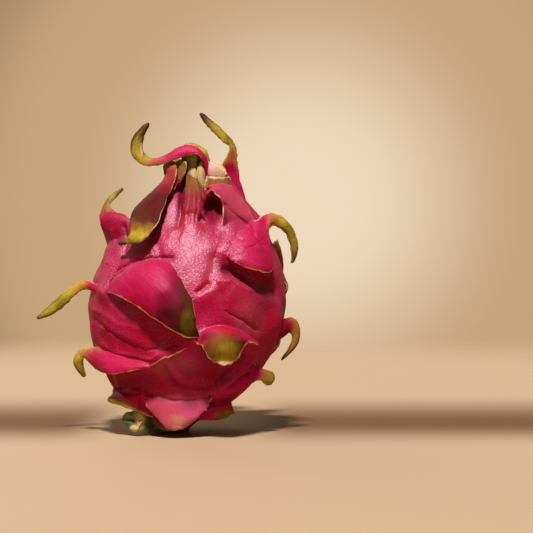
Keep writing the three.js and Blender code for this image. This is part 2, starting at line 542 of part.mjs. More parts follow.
// The dried flower: strips in a ring, each one bent its own way, on a plug.
function flowerSolid() {
  const random = randomSource(SEED + 1);
  const floor = BODY_HEIGHT - CRATER_DEPTH + 2 * CLEARANCE;
  const plug = new THREE.CylinderGeometry(PLUG_RADIUS * 0.8, PLUG_RADIUS, PLUG_HEIGHT, 14);
  plug.rotateX(Math.PI / 2);
  plug.translate(LEAN * floor, 0, floor + PLUG_HEIGHT / 2);
  const strips = Array.from({ length: STRIPS }, (_, k) => {
    const angle = 360 * (k + mix(-0.25, 0.25, random())) / STRIPS;
    const tall = STRIP_HEIGHT * mix(0.72, 1, random());
    const splay = mix(-1, 2.2, random());
    const twist = mix(-35, 35, random());
    const edge = (side) => [0, 0.35, 0.7, 1].map((share) => {
      const half = side * STRIP_HALF * (1 - 0.75 * share ** 2);
      const out = PLUG_RADIUS * 0.6 + splay * share ** 2;
      const [turned, across] = [angle * DEG, (angle + 90 + twist * share) * DEG];
      return [
        LEAN * floor + out * Math.sin(turned) + half * Math.sin(across),
        -out * Math.cos(turned) - half * Math.cos(across),
        floor + 1 + tall * share,
      ];
    });
    const strip = { size: 'small', ruffle: 0.3, bow: [0.6, 0.2], a: edge(-1), b: edge(1) };
    return scaleSolid(strip);
  });
  return union([solidOf(plug), ...strips]);
}

// ---- Assembly -----------------------------------------------------------------------------

const blades = SCALES.map((scale) => scaleSolid(scale));
const fruit = union([bodySolid(), ...blades]);
const grownBlades = union(SCALES.map((scale) => scaleSolid(scale, CLEARANCE)));
const around = grownBlades.add(bodySolid(CLEARANCE));

// A piece cut back to stand clear of the fruit, without the crumbs that the cut leaves.
function clearOf(solid) {
  const bodies = solid.subtract(around).decompose();
  return bodies.reduce((best, body) => (body.volume() > best.volume() ? body : best));
}

function named(name, solid, color, roughness) {
  const material = new THREE.MeshStandardMaterial({ color, roughness, metalness: 0 });
  const mesh = new THREE.Mesh(geometryOf(solid.simplify(SMALLEST)), material);
  mesh.name = name;
  return mesh;
}

const dragonFruit = new THREE.Group();
dragonFruit.add(named('fruit', fruit, 0xd0346a, 0.42));
dragonFruit.add(named('stem_stub', clearOf(stemSolid()), 0x5f7430, 0.7));
dragonFruit.add(named('flower_remains', clearOf(flowerSolid()), 0xb59a62, 0.85));

export default dragonFruit;
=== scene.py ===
import math

import bmesh
import bpy
import numpy as np
from bpy.props import FloatProperty, FloatVectorProperty, IntProperty, PointerProperty
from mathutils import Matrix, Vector, kdtree, noise


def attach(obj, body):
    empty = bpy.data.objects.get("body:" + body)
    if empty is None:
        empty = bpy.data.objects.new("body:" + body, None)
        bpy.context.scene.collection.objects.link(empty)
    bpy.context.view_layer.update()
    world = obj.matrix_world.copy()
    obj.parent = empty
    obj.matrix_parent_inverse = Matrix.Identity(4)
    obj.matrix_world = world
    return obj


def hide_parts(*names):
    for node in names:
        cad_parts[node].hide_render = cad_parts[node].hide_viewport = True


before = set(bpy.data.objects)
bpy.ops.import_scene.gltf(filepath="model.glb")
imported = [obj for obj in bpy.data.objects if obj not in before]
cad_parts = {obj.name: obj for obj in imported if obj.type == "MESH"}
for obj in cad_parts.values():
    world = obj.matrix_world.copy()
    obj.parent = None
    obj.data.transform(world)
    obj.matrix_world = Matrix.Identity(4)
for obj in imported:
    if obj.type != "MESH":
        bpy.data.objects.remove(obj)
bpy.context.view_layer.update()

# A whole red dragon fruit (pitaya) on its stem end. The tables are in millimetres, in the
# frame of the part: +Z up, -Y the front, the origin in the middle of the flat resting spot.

bl_info = {
    "name": "Pitaya",
    "version": (1, 0, 0),
    "blender": (4, 5, 0),
    "location": "View3D > Sidebar > Pitaya",
    "description": "Models a whole dragon fruit with its scales, cut stem and dried flower",
    "category": "Add Mesh",
}

MM = 0.001
BODY = "root"

# ---- Sizes of the body ----------------------------------------------------------------------

BODY_HEIGHT = 113.0
# Height and radius, from the resting spot to the rim of the crown.
BODY_PROFILE = (
    (0, 4.5), (2.5, 6), (6, 10.5), (12, 21.4), (20, 30), (30, 35.8), (42, 41), (55, 43.2),
    (68, 41.4), (80, 36.4), (92, 28.8), (102, 21.8), (108, 17), (113, 12.5),
)
FOOT_RADIUS = 5.0
LEAN = 0.075  # the axis moves this far to the right for each mm of height
CRATER = ((11.2, 111.6), (10.2, 109), (9.2, 106.4), (6.5, 104.6), (3, 104.1), (0, 104))
# How far the rim of the crown dips in front, over which height and over which turn.
CROWN_DIP, DIP_HEIGHT, DIP_TURN = 6.5, 15, 0.75
BODY_STEPS, BODY_ROWS = 320, 200  # round it and up it
# The skin's lumps and ridges: each a height, a period and a seed.
LUMPS = ((0.5, 16, 1), (0.3, 6, 2))
RIDGE_HEIGHT, RIDGE_PERIOD, RIDGE_SEED = 0.45, 11, 4
RELIEF_FADE = 9.0  # its relief fades out over this height at both ends
# The swell where a scale leaves the skin; a root this far inside the skin makes none.
SWELL_HEIGHT, SWELL_REACH, SWELL_WIDTH, HIDDEN_ROOT = 2.0, 6.0, 4, 6

# Where the front is looked at from: this far right of the origin, above it and before it.
EYE_X, EYE_Z, EYE_DISTANCE = 39.0, 72.5, 650.0


def curve_at(rows, x):
    """A smooth curve through the rows (x, y), at the numbers x."""
    xs, ys = np.array(rows, float).T
    x = np.clip(np.asarray(x, float), xs[0], xs[-1])
    index = np.arange(len(xs))
    low, high = np.maximum(index - 1, 0), np.minimum(index + 1, len(xs) - 1)
    slopes = (ys[high] - ys[low]) / (xs[high] - xs[low])
    i = np.clip(np.searchsorted(xs, x, side="right") - 1, 0, len(xs) - 2)
    span = xs[i + 1] - xs[i]
    t = (x - xs[i]) / span
    return (
        (2 * t**3 - 3 * t**2 + 1) * ys[i] + (t**3 - 2 * t**2 + t) * span * slopes[i]
        + (3 * t**2 - 2 * t**3) * ys[i + 1] + (t**3 - t**2) * span * slopes[i + 1]
    )


def rows_at(rows, t):
    """A Catmull-Rom curve through rows of numbers, from t = 0 to t = 1."""
    rows = np.array(rows, float)
    last = len(rows) - 1
    t = np.clip(np.asarray(t, float), 0, 1) * last
    i = np.minimum(t.astype(int), last - 1)
    f = (t - i)[:, None]
    a, b, c, d = (rows[np.clip(i + k, 0, last)] for k in (-1, 0, 1, 2))
    return 0.5 * (
        2 * b + (c - a) * f + (2 * a - 5 * b + 4 * c - d) * f**2 + (3 * b - a - 3 * c + d) * f**3
    )


def mix(a, b, t):
    return a + (b - a) * t


def smooth(t):
    t = np.clip(t, 0, 1)
    return t**2 * (3 - 2 * t)


def unit(rows):
    """Rows of vectors, each brought to the length 1."""
    return rows / (np.linalg.norm(rows, axis=-1, keepdims=True) + 1e-9)


def radius_at(z):
    return curve_at(BODY_PROFILE, z)


def along_sight(x, z, y):
    """A place at x and z on the upright plane through the origin, carried along the line of
    sight to the depth y."""
    near = (EYE_DISTANCE + y) / EYE_DISTANCE
    return EYE_X + (x - EYE_X) * near, y, EYE_Z + (z - EYE_Z) * near


def on_skin(x, z, lift):
    """The same, carried to the smooth body's skin and lifted off it, in rounds that close in."""
    place = (x, 0, z)
    for _ in range(12):
        reach = float(radius_at(place[2])) + lift
        side = place[0] - LEAN * place[2]
        place = along_sight(x, z, -math.sqrt(max(0.0, reach**2 - side**2)))
    return place


def drawn(*rows):
    """An edge through places given as x, z and depth."""
    return [along_sight(*row) for row in rows]


def seen(*rows):
    """An edge through places given as x, z and lift off the skin."""
    return [on_skin(*row) for row in rows]


def skin(azimuth, z, lift, side=0.0):
    """A place on the skin at an azimuth in degrees (0 in front, 90 at the right) and a height."""
    reach = float(radius_at(z)) + lift
    out = math.radians(azimuth)
    return (
        LEAN * z + reach * math.sin(out) + side * math.cos(out),
        -reach * math.cos(out) + side * math.sin(out),
        z,
    )


# ---- The scales -----------------------------------------------------------------------------

# How a scale's colours change from its root (0) to its tip (1): share along it, olive green,
# deep maroon, dried brown.
BARE = ((0, 0, 0, 0), (1, 0, 0, 0))
PLAIN = ((0, 0, 0, 0), (1, 0, 0.1, 0))
HORN = ((0, 0, 0, 0), (0.35, 0, 0, 0), (0.55, 0.7, 0, 0), (0.8, 1, 0, 0.15), (1, 0.6, 0, 1))
BACK = ((0, 0, 0, 0), (0.45, 0, 0.05, 0), (0.68, 0.6, 0.1, 0), (0.88, 1, 0, 0.2), (1, 0.5, 0, 1))


def blade(size, ruffle, a, b, middle=None, bow=(0, 0), tones=HORN, lead=0.15, skew=0, dry=0.4,
          torn=None, pale=0, thick=1):
    """A scale between two edges, a and b, from its root to its tip. middle is the line between
    them; without it the blade is bowed outwards by bow, of half its width, at root and tip.
    lead brings the colours forward at both edges and skew along b. The margin is papery to the
    width dry at the sides and torn at the end."""
    return {
        "size": size, "ruffle": ruffle, "a": a, "b": b, "middle": middle, "bow": bow,
        "tones": tones, "lead": lead, "skew": skew, "dry": dry,
        "torn": dry if torn is None else torn, "pale": pale, "thick": thick,
    }


# The scales in front, and then those of the crown.
SCALES = {
    "front flap": blade("large", 0.35,
        a=seen((-33.9, 60.3, -3), (-33.9, 60.3, 0.5), (-29, 60.2, 3.2), (-22.9, 57.4, 5.2),
            (-15.1, 52.8, 6.6), (-7.9, 47.7, 7.5), (-1.3, 43.6, 7.2), (4.2, 41.3, 5.6),
            (8.6, 41.6, 3.4)),
        middle=seen((-21, 71.4, -3), (-21, 72.2, 4), (-15.5, 70, 7.6), (-10, 65.4, 9.6),
            (-5, 59.6, 10.6), (-1, 54, 10.6), (2.6, 48.6, 9.2), (5.8, 44.4, 6.8), (9, 42, 3.8)),
        b=seen((-3.5, 74, -3), (-3.5, 74.2, 2.2), (-1.5, 71, 3.4), (1.4, 66, 4.3), (4.7, 60.4, 5),
            (6.4, 56, 5.3), (7.5, 50.6, 5.4), (8, 45.8, 5), (9.2, 42.4, 3.6)),
        tones=((0, 0, 0, 0), (0.4, 0, 0.05, 0), (0.54, 0, 0.6, 0.05), (0.7, 0.04, 1, 0.1),
            (0.86, 0.1, 1, 0.2), (0.95, 0.1, 1, 0.5), (1, 0.1, 1, 0.9)),
        lead=0.06, skew=0.16, dry=0.8),
    "lower flap": blade("large", 0.8,
        a=seen((5, 39, -3), (7, 40, 2), (8.8, 38.6, 5), (11, 36.4, 7.5), (12.8, 33, 9),
            (15.4, 31, 9.6), (17.8, 29.7, 11.4)),
        middle=seen((20, 45, -3), (20, 45.2, 3.5), (20, 43.4, 7.5), (20, 40.6, 10),
            (20.2, 36.4, 11), (20.6, 31.6, 10.8), (20.8, 28.5, 12.6)),
        b=seen((36, 39, -3), (35.2, 37.4, 1.5), (32.6, 38.6, 4.5), (30.4, 38.6, 7),
            (28.2, 35.4, 8.4), (26.4, 31.8, 9), (23.8, 29.8, 11)),
        tones=((0, 0, 0, 0), (0.28, 0, 0.1, 0), (0.42, 0.1, 0.6, 0.05), (0.6, 0.4, 0.7, 0.1),
            (0.78, 0.7, 0.5, 0.1), (0.92, 0.5, 0.6, 0.3), (1, 0.1, 0.4, 0.2)),
        lead=-0.12, dry=0.9, torn=3.2),
    "right hood": blade("claw", 0.5,
        a=seen((17, 86, -4), (23, 90, -4), (29, 92, -3)) + drawn((33.6, 92.2, -16),
            (36.2, 94, -12), (39, 95.3, -8), (41.3, 95.6, -7), (44, 95.2, -6.5), (47, 93.3, -6),
            (50, 89.7, -6), (52.2, 84.5, -6), (52.7, 79.5, -6), (51, 74.3, -6)),
        middle=seen((18, 80.5, -3), (24, 82, 0.5), (29.5, 82, 3.5), (34, 81.4, 4.5)) +
            drawn((37.8, 84, -21), (39.2, 88, -16), (39.8, 92, -12.5), (42.2, 93, -10.5),
            (45.7, 91.6, -9), (48.7, 88.6, -8), (50.8, 84, -8), (51.3, 79, -7.5),
            (50.3, 74, -6.4)),
        b=seen((21.6, 76.5, -3), (23.4, 74.6, 3), (28.6, 72.6, 4.8), (35.6, 70.5, 6),
            (41.6, 70.8, 4)) + drawn((41, 79.4, -20), (39.2, 87, -15), (40.8, 90.2, -10),
            (44.5, 89.3, -8), (47.2, 87.3, -7), (49.3, 83.2, -7), (49.8, 78.5, -7),
            (49.6, 73.8, -6.5)),
        tones=((0, 0, 0, 0), (0.42, 0, 0, 0), (0.55, 0.45, 0, 0), (0.7, 1, 0, 0.05),
            (0.9, 0.9, 0, 0.3), (1, 0.4, 0, 1)),
        lead=0.1, dry=1.1),
    # Its pale tone lightens it as painted light.
    "pocket scale": blade("large", 0.3, bow=(0.25, 0.15),
        a=seen((11.4, 94, -2.5), (11.3, 101, 4), (12.6, 105, 8), (15, 106, 9), (17.5, 103.4, 8.5),
            (19.4, 99.4, 7), (20, 94, 4), (20.2, 89, -1.4), (20, 80, -4)),
        b=seen((11.2, 103, -2.5), (12.2, 106.2, 3), (14.8, 107.9, 6), (19, 109, 7),
            (24, 107.6, 6.5), (27.7, 103.2, 5), (30.8, 98, 4), (33.4, 92, 2), (35, 84, -4)),
        tones=PLAIN, lead=0, dry=0.28, pale=0.14),
    "left tongue": blade("claw", 0.4, bow=(-0.25, -0.35),
        a=drawn((-5, 106.5, -5), (-6.7, 115.6, -9), (-5.3, 114, -12)) + seen((-5.8, 111.4, 2),
            (-8.2, 107.8, 3), (-12, 104.2, 4), (-16, 100.6, 4.5), (-20, 95.6, 5),
            (-21.3, 91.4, 6), (-21, 87.4, 6), (-22.5, 84.6, 6), (-26.2, 82.3, 6)),
        b=drawn((1.5, 106.5, -11), (-1.6, 118, -12), (-0.4, 115.6, -15)) + seen((-0.9, 110.6, 4),
            (-2.8, 106, 5), (-5, 101.8, 6), (-7, 97.3, 6.5), (-8.6, 92.6, 7.5), (-10.8, 88.6, 8),
            (-13.8, 84.8, 7.5), (-18.4, 82.3, 7), (-25.6, 81.6, 6.2)),
        tones=((0, 0.3, 0.2, 0), (0.2, 0.15, 0.4, 0), (0.36, 0.05, 0.6, 0.1),
            (0.5, 0, 0.95, 0.05), (0.72, 0.05, 1, 0.1), (0.79, 0.5, 0.6, 0.05), (0.86, 1, 0, 0),
            (0.93, 0.8, 0, 0.5), (1, 0.2, 0, 1)),
        lead=0.05, dry=0.4, thick=0.85),
    "left horn": blade("horn", 0.2, bow=(0.3, 0.5),
        a=seen((-30, 80, -3)) + drawn((-33.4, 89.6, -10), (-34.2, 93.8, -9), (-33.2, 97.6, -9),
            (-30.7, 102, -9), (-27, 105.3, -9), (-24, 107, -9)),
        b=seen((-16, 84, -3)) + drawn((-22, 94, -18), (-26.4, 95.6, -14), (-29, 97.8, -12),
            (-29.4, 100.4, -11), (-26.6, 103.6, -10), (-23.7, 106.4, -9.5))),
    "long left horn": blade("horn", 0.3, bow=(0.3, 0.5),
        a=seen((-29, 65, -3)) + drawn((-35, 64.6, -19), (-39, 66, -13), (-43, 66.2, -12),
            (-47.4, 63, -12), (-52, 59.3, -12), (-57.2, 54.6, -12), (-62.3, 50, -12)),
        b=seen((-29, 57.5, -3)) + drawn((-35, 60.4, -20), (-38.2, 62, -15), (-41.6, 62.2, -13),
            (-45.8, 59.4, -13), (-49, 56.2, -13), (-54.6, 51.8, -13), (-62, 48.8, -12.5)),
        tones=((0, 0, 0, 0), (0.22, 0, 0, 0), (0.42, 0.55, 0, 0), (0.65, 1, 0, 0.05),
            (0.9, 1, 0, 0.15), (1, 0.8, 0, 0.7))),
    "lower left claw": blade("claw", 0.3, bow=(0.1, 0.5),
        a=seen((-9, 31, -3), (-12.5, 30.2, -1), (-17.8, 31.2, -0.8), (-24, 32.6, -0.5),
            (-30, 35, 0)) + drawn((-35.6, 37, -15), (-39.6, 35.9, -9), (-43, 35.6, -6),
            (-45.2, 32, -6), (-44.6, 27.5, -6), (-41.4, 23.8, -6)),
        b=seen((-8, 28.6, -3), (-12.2, 28, 3), (-18.5, 27, 5), (-24.5, 25.9, 6.4),
            (-30, 25.1, 7)) + drawn((-35, 26.6, -20), (-38.8, 30.3, -13), (-41, 32.2, -10),
            (-41.7, 30.6, -9), (-41.4, 27.6, -8), (-40.4, 24, -6.5)),
        tones=((0, 0, 0, 0), (0.5, 0, 0, 0), (0.66, 0.5, 0, 0), (0.82, 0.95, 0, 0.15),
            (1, 0.8, 0, 0.6)),
        dry=0.35),
    "left ledge": blade("large", 0.25, bow=(0.1, 0.1),
        a=seen((9, 43, -4), (3, 41.5, -3), (-3.5, 38.6, -2.5), (-8.5, 36.4, -2.5),
            (-14, 34.4, -3)),
        b=seen((6.4, 39.4, -3), (2.7, 36.7, 1.6), (-3.2, 32.8, 3), (-7.9, 31.3, 3.6),
            (-13.4, 28.2, 2.4)),
        tones=PLAIN, dry=0.2),
    "bottom left lobe": blade("lobe", 0.5,
        a=seen((-27, 20, -3), (-28.4, 17.6, 1.5)) + drawn((-30, 15, -17), (-31.4, 13.4, -16)),
        middle=seen((-20, 20, -3), (-20, 17, 2)) + drawn((-21.4, 13, -22.5), (-22.6, 10, -23)),
        b=seen((-10, 18, -3), (-10.5, 14, 0)) + drawn((-11, 9.5, -21), (-11.6, 6, -21)),
        tones=((0, 0, 0, 0), (0.6, 0, 0.1, 0), (0.85, 0.3, 0.1, 0), (1, 0.95, 0, 0.2)),
        lead=0, skew=-0.22),
    "bottom lobe": blade("large", 0.3,
        a=seen((-15.4, 18, -3)) + drawn((-15.4, 16, -25), (-14.2, 12, -26), (-11.6, 8.2, -26.5),
            (-7.9, 4.2, -27), (-5.3, 1.5, -27), (-3.6, 0.7, -26.5)),
        middle=seen((-1, 20, -3)) + drawn((-1, 17.6, -28.6), (-1, 12.6, -28.6), (-1, 8.8, -28.8),
            (-0.9, 5, -29), (-0.6, 1.8, -28.4), (-0.6, 0.5, -27.6)),
        b=seen((15, 18, -3)) + drawn((15, 15.4, -25), (13.3, 11.6, -26), (11, 8.6, -26.5),
            (8.2, 5.4, -27), (5, 3, -27), (2.4, 1, -26.5)),
        tones=((0, 0, 0, 0), (0.7, 0, 0, 0), (0.86, 0.15, 0, 0.05), (1, 0.25, 0, 0.3)),
        lead=-0.05, dry=0.3, torn=3, pale=0.16, thick=0.85),
    "bottom dry lobe": blade("small", 0.3, bow=(0.1, 0.3),
        a=seen((-14, 12, -3)) + drawn((-11.5, 6.6, -19), (-10.6, 3.8, -20.5), (-9.2, 1.8, -21.5),
            (-6.6, 0.9, -22)),
        b=seen((-5, 12, -3)) + drawn((-4, 6.6, -21), (-3.4, 4, -22.5), (-2.4, 1.8, -23),
            (-1, 0.9, -22.6)),
        tones=((0, 0, 0.6, 0), (0.5, 0.3, 0.8, 0.2), (1, 0.5, 0.5, 0.4)), dry=0.45),
    "bottom right lobe": blade("lobe", 0.4,
        a=seen((7, 15, -3)) + drawn((8, 11, -21), (8.2, 8, -21.5), (8.6, 5.3, -21)),
        middle=seen((16, 18, -3), (16, 13, 1.5)) + drawn((16.4, 8, -21.5), (17, 4.8, -21)),
        b=seen((24, 18, -3), (23.4, 13.4, 1.5)) + drawn((24, 10, -14), (25, 7.7, -13)),
        tones=((0, 0, 0.1, 0), (0.6, 0, 0.2, 0), (0.85, 0, 0.3, 0), (1, 0, 0.3, 0.1)),
        lead=0, skew=0.25),
    "right claw": blade("horn", 0.3, bow=(0.3, 0.4),
        a=seen((20, 29, -4), (26, 30, -3), (31.5, 29.6, -1)) + drawn((36, 27.8, -15),
            (40, 26.5, -13), (42, 25.4, -12), (42.3, 22.6, -12)),
        b=seen((21, 16, -3), (25, 16, 2), (29.5, 19, 4)) + drawn((34.8, 22.3, -18),
            (37.2, 21.2, -16), (38.7, 20.2, -14), (40.8, 20.6, -13)),
        tones=((0, 0, 0, 0), (0.5, 0, 0, 0), (0.68, 0.7, 0, 0), (0.85, 1, 0, 0.1),
            (1, 0.8, 0, 0.5)),
        dry=0.35),
    "far right horn": blade("horn", 0.3, bow=(0.3, 0.5),
        a=seen((38, 52, -3)) + drawn((43.5, 49, -12), (47, 49.8, -6), (50.2, 49.8, -4),
            (52.8, 47.4, -4), (53.5, 43, -4), (52, 37.6, -4), (45.6, 31.4, -4)),
        b=seen((38, 40, -3)) + drawn((42.6, 39.5, -12), (46.4, 41.6, -7), (48.8, 43.4, -5),
            (49.8, 42.4, -4.5), (50, 39.6, -4.5), (48, 35.4, -4.5), (45.1, 31.9, -4.5)),
        tones=((0, 0, 0, 0), (0.3, 0, 0.5, 0), (0.6, 0.4, 0.5, 0.1), (0.8, 0.6, 0.2, 0.4),
            (1, 0.3, 0, 1))),
    "right rear scale": blade("small", 0.2, bow=(0.3, 0.3),
        a=drawn((37, 62, 2), (40.6, 70, 2), (41.4, 78, 2), (42.2, 84, 2)),
        b=drawn((41, 58, 14), (45.4, 68, 10), (45.4, 78, 7), (43.2, 84.6, 4)),
        tones=((0, 0, 0, 0), (0.5, 0.1, 0, 0), (0.75, 0.8, 0, 0), (1, 1, 0, 0.2))),
    "crown ribbon": blade("ribbon", 0.25, bow=(0.1, 0.45),
        a=drawn((15, 106, -8), (13.9, 112, -9), (13.4, 116.4, -10), (12.6, 119.2, -11),
            (11.3, 121.6, -12), (8.7, 124.3, -13), (5.7, 125.8, -13), (2.8, 125.8, -13),
            (-0.6, 124.6, -13), (-4.5, 122, -13), (-7.8, 120.4, -13), (-11.2, 119.8, -12.5),
            (-13.4, 120.8, -12), (-15, 122.8, -11.5), (-15.8, 126, -11.5), (-15, 129.8, -11.5),
            (-13.4, 133.2, -12), (-12.6, 135.2, -12)),
        b=drawn((11.2, 105.6, -11), (11.9, 111, -12), (11.6, 115.8, -13), (10.8, 118.6, -14),
            (9.8, 120.8, -15), (7.7, 122, -15.5), (4.8, 121.6, -15.5), (1.8, 120.4, -15.5),
            (-2.1, 118.8, -15.5), (-6, 117.4, -15), (-9.6, 116.6, -14.5), (-13.9, 116.4, -14),
            (-17.8, 118.4, -13.5), (-20.5, 121.9, -13), (-20.8, 126, -13), (-19, 130.8, -13),
            (-16, 134.1, -13), (-13.4, 135.8, -12.4)),
        tones=((0, 0, 0, 0), (0.52, 0, 0, 0), (0.64, 0.25, 0, 0.05), (0.74, 0.95, 0, 0.1),
            (0.9, 1, 0, 0.4), (1, 0.4, 0, 1)),
        lead=0.2, dry=0.4, thick=0.8),
    "tall horn": blade("ribbon", 0.2, bow=(-0.3, 0.3),
        a=[skin(70, 92, -3)] + drawn((19, 102, -3), (18.4, 108, -2), (18.4, 114, -1),
            (19.4, 118, -1), (22.2, 122.8, 0), (22.3, 125.4, 0), (19.4, 127.2, 0),
            (16.4, 130.2, 0), (14.2, 132.8, 0), (11.6, 135.2, 0), (9.3, 139.4, 0)),
        b=[skin(104, 92, -3)] + drawn((30, 101, 5), (28.4, 107, 4), (27, 112.5, 4),
            (26.3, 117, 3), (26.2, 121.6, 2.5), (25.2, 125.6, 2), (23, 129, 1.5), (20, 132.2, 1),
            (16.8, 135.2, 1), (13.2, 138, 0.5), (10.1, 140.4, 0)),
        tones=((0, 0, 0, 0), (0.36, 0, 0, 0), (0.48, 0.5, 0, 0), (0.62, 1, 0, 0),
            (0.86, 0.9, 0, 0.3), (0.94, 0.6, 0, 0.8), (1, 0.4, 0, 1)),
        thick=0.85),
    "crown green scale": blade("small", 0.2, bow=(0.1, 0.2),
        a=drawn((15.5, 107, -6), (15, 113, -7), (14, 118.5, -8), (13, 122.4, -8.6),
            (11.6, 124.2, -9), (9, 125.9, -9.4), (5.9, 126.8, -9.6), (3, 126.4, -9.6),
            (1.6, 124.6, -9.8)),
        b=drawn((11.6, 106, -10), (12.2, 113, -10.5), (11.4, 118.4, -11), (9.7, 121.4, -11.5),
            (7.8, 121.6, -11.5), (5.8, 119.4, -11.5), (4, 117.4, -11.2), (2.2, 118, -11),
            (1.2, 121.4, -10.5)),
        tones=((0, 0, 0.3, 0), (0.3, 0.3, 0.3, 0), (0.42, 1, 0, 0), (1, 0.95, 0, 0.2)), dry=0.3),
    "neck scale": blade("small", 0.25, bow=(0.05, 0.3),
        a=seen((1.2, 91, -3), (2.2, 97, 1.2), (3.3, 104, 2.4), (3.5, 110, 3.2), (4, 113.4, 3.8)),
        b=seen((12, 91, -3), (11.8, 97, 1.2), (11.2, 103, 2.4), (10.6, 106.8, 3.2),
            (9.8, 108.8, 3.6)),
        tones=((0, 0, 0.1, 0), (0.45, 0.05, 0.45, 0), (0.72, 0.3, 0.6, 0.2), (1, 0.5, 0.2, 0.6)),
        lead=0, dry=0, torn=1.3),
    "inner left scale": blade("small", 0.2, bow=(-0.1, -0.2),
        a=seen((-10, 102, -3), (-7, 107, 0.5), (-4.6, 110, 1.2), (-2.6, 112.6, 1.8),
            (-1.4, 115.4, 2.2), (-0.8, 118, 2.6), (1, 119.8, 3)),
        b=seen((-4, 101, -3), (-2.6, 105, 1.2), (-0.9, 108, 1.8), (0.8, 109.6, 2.2),
            (2.3, 112, 2.6), (3.5, 115.4, 3), (3.4, 118.4, 3)),
        tones=((0, 0, 0.3, 0), (0.5, 0, 0.5, 0), (0.72, 0.3, 0.4, 0.2), (0.85, 0.8, 0.2, 0.4),
            (1, 0.8, 0, 0.5)),
        lead=0.1, dry=0.3),
    "crown olive scale": blade("small", 0.2, bow=(0.2, 0.2),
        a=drawn((-4, 107, -4), (-4, 113, -5), (-3.6, 117, -6), (-1.6, 119.6, -7.5)),
        b=drawn((12, 107, -3), (12, 113, -4), (11, 118.6, -5.5), (9, 122, -7.5)),
        tones=((0, 0.3, 0.3, 0), (0.5, 0.6, 0.3, 0.3), (0.75, 1, 0, 0.2), (1, 0.9, 0, 0.3)),
        dry=0.3),
    "broken scale": blade("small", 0.4,
        a=seen((12.2, 100, -3), (11.8, 105, 1.5), (11.5, 108.6, 3), (12.2, 112.6, 4.4)),
        middle=seen((17.6, 100, -3), (17.6, 105.6, 3.6), (17.6, 108.6, 5), (17.8, 111.6, 6)),
        b=seen((23.6, 101, -3), (23.4, 106.5, 1.5), (23, 109.6, 3), (22.7, 112.4, 4.4)),
        tones=((0, 0, 0.2, 0), (0.45, 0, 0.5, 0), (0.7, 0.35, 0.6, 0.15), (1, 0.4, 0.2, 0.2)),
        dry=0.6, torn=2.6),
    "torn stump": blade("small", 0.3, bow=(0.5, 0.4),
        a=drawn((12.6, 106, -8), (12.6, 112, -10), (12.8, 115.6, -10.5), (13.6, 118.4, -10)),
        b=drawn((17, 106, -9), (17.2, 111.6, -11), (17, 115, -11), (16.4, 117.2, -10.5)),
        tones=BARE, dry=1, pale=0.9),
    "torn flap": blade("small", 1.3, bow=(0.3, 0.2),
        a=drawn((15.6, 106, -6), (15.2, 111.4, -10), (16, 115.4, -11), (17.2, 118.8, -10.5)),
        b=drawn((22, 106, -4), (21.8, 111, -8.5), (21.2, 113.8, -9.5), (18.4, 118.2, -10)),
        tones=BARE, dry=6, pale=0.7),
}

# Behind, the scales stand in rows, each row turned half a step from the one below it:
# height, count, first and last azimuth, length and half width.
BACK_ROWS = (
    (16, 3, 136, 226, 19, 9.5), (35, 4, 120, 240, 22, 9), (56, 4, 116, 236, 25, 8.5),
    (75, 4, 140, 240, 27, 7.5), (93, 2, 168, 190, 27, 7), (104, 2, 166, 190, 14, 6),
)
BACK_STEPS = 4
# Scales curl over up to this many degrees from the back, with this soft a change.
CURL_REACH, CURL_EASE = 42, 24
# The pitch a scale starts at, and how many degrees it turns out if it lies flat or curls.
FIRST_PITCH, FLAT_TURN, CURLED_TURNS = 84, 8, (65, 125)
FLAT_LIFT, ROOT_DEPTH, TIP_HALF = 2.0, 3, 0.5
# How far lengths and widths vary, as shares, and places, in degrees and millimetres.
LENGTHS, HALVES, AZIMUTHS, DRIFTS, HEIGHTS = (0.85, 1.1), (0.85, 1.15), (-4, 4), (-10, 10), (-3, 3)
SEED = 20


def number_source(seed):
    """A seeded source of numbers from 0 to 1."""
    state = seed
    while True:
        state = (state * 1664525 + 1013904223) % 2**32
        yield state / 2**32


def turned_scale(length, half, azimuth, z, curl, numbers):
    """A scale that leaves the skin upwards and turns outwards and over by curl, from 0 to 1."""
    length *= mix(*LENGTHS, next(numbers)) * mix(0.7, 1, curl)
    half *= mix(*HALVES, next(numbers))
    turn = mix(FLAT_TURN, mix(*CURLED_TURNS, next(numbers)), curl)
    drift = mix(*DRIFTS, next(numbers))
    a, b = ([skin(azimuth, z - ROOT_DEPTH, -ROOT_DEPTH, side)] for side in (-half, half))
    up, out = z, 0.5
    for step in range(1, BACK_STEPS + 1):
        share = step / BACK_STEPS
        pitch = math.radians(FIRST_PITCH - turn * share**1.3)
        up += math.sin(pitch) * length / BACK_STEPS
        out += math.cos(pitch) * length / BACK_STEPS
        lift = mix(FLAT_LIFT, out + float(radius_at(z)) - float(radius_at(up)), curl)
        width = half * (1 - share**2) + TIP_HALF
        for edge, side in ((a, -width), (b, width)):
            edge.append(skin(azimuth + drift * share**2, up, lift, side))
    return blade("back", 0.4, a, b, bow=(0.4, 0.3), tones=BACK)


def back_scales():
    """The scales behind by name, placed by the rule of their rows."""
    numbers = number_source(SEED)
    scales = {}
    for level, (height, count, first, last, length, half) in enumerate(BACK_ROWS, 1):
        for k in range(count):
            azimuth = mix(first, last, k / (count - 1)) + mix(*AZIMUTHS, next(numbers))
            inside = CURL_REACH + CURL_EASE / 2 - abs(azimuth - 180)
            curl = float(smooth(inside / CURL_EASE))
            z = height + mix(*HEIGHTS, next(numbers))
            scale = turned_scale(length, half, azimuth, z, curl, numbers)
            scales[f"back scale {level}.{k + 1}"] = scale
    return scales


SCALES.update(back_scales())

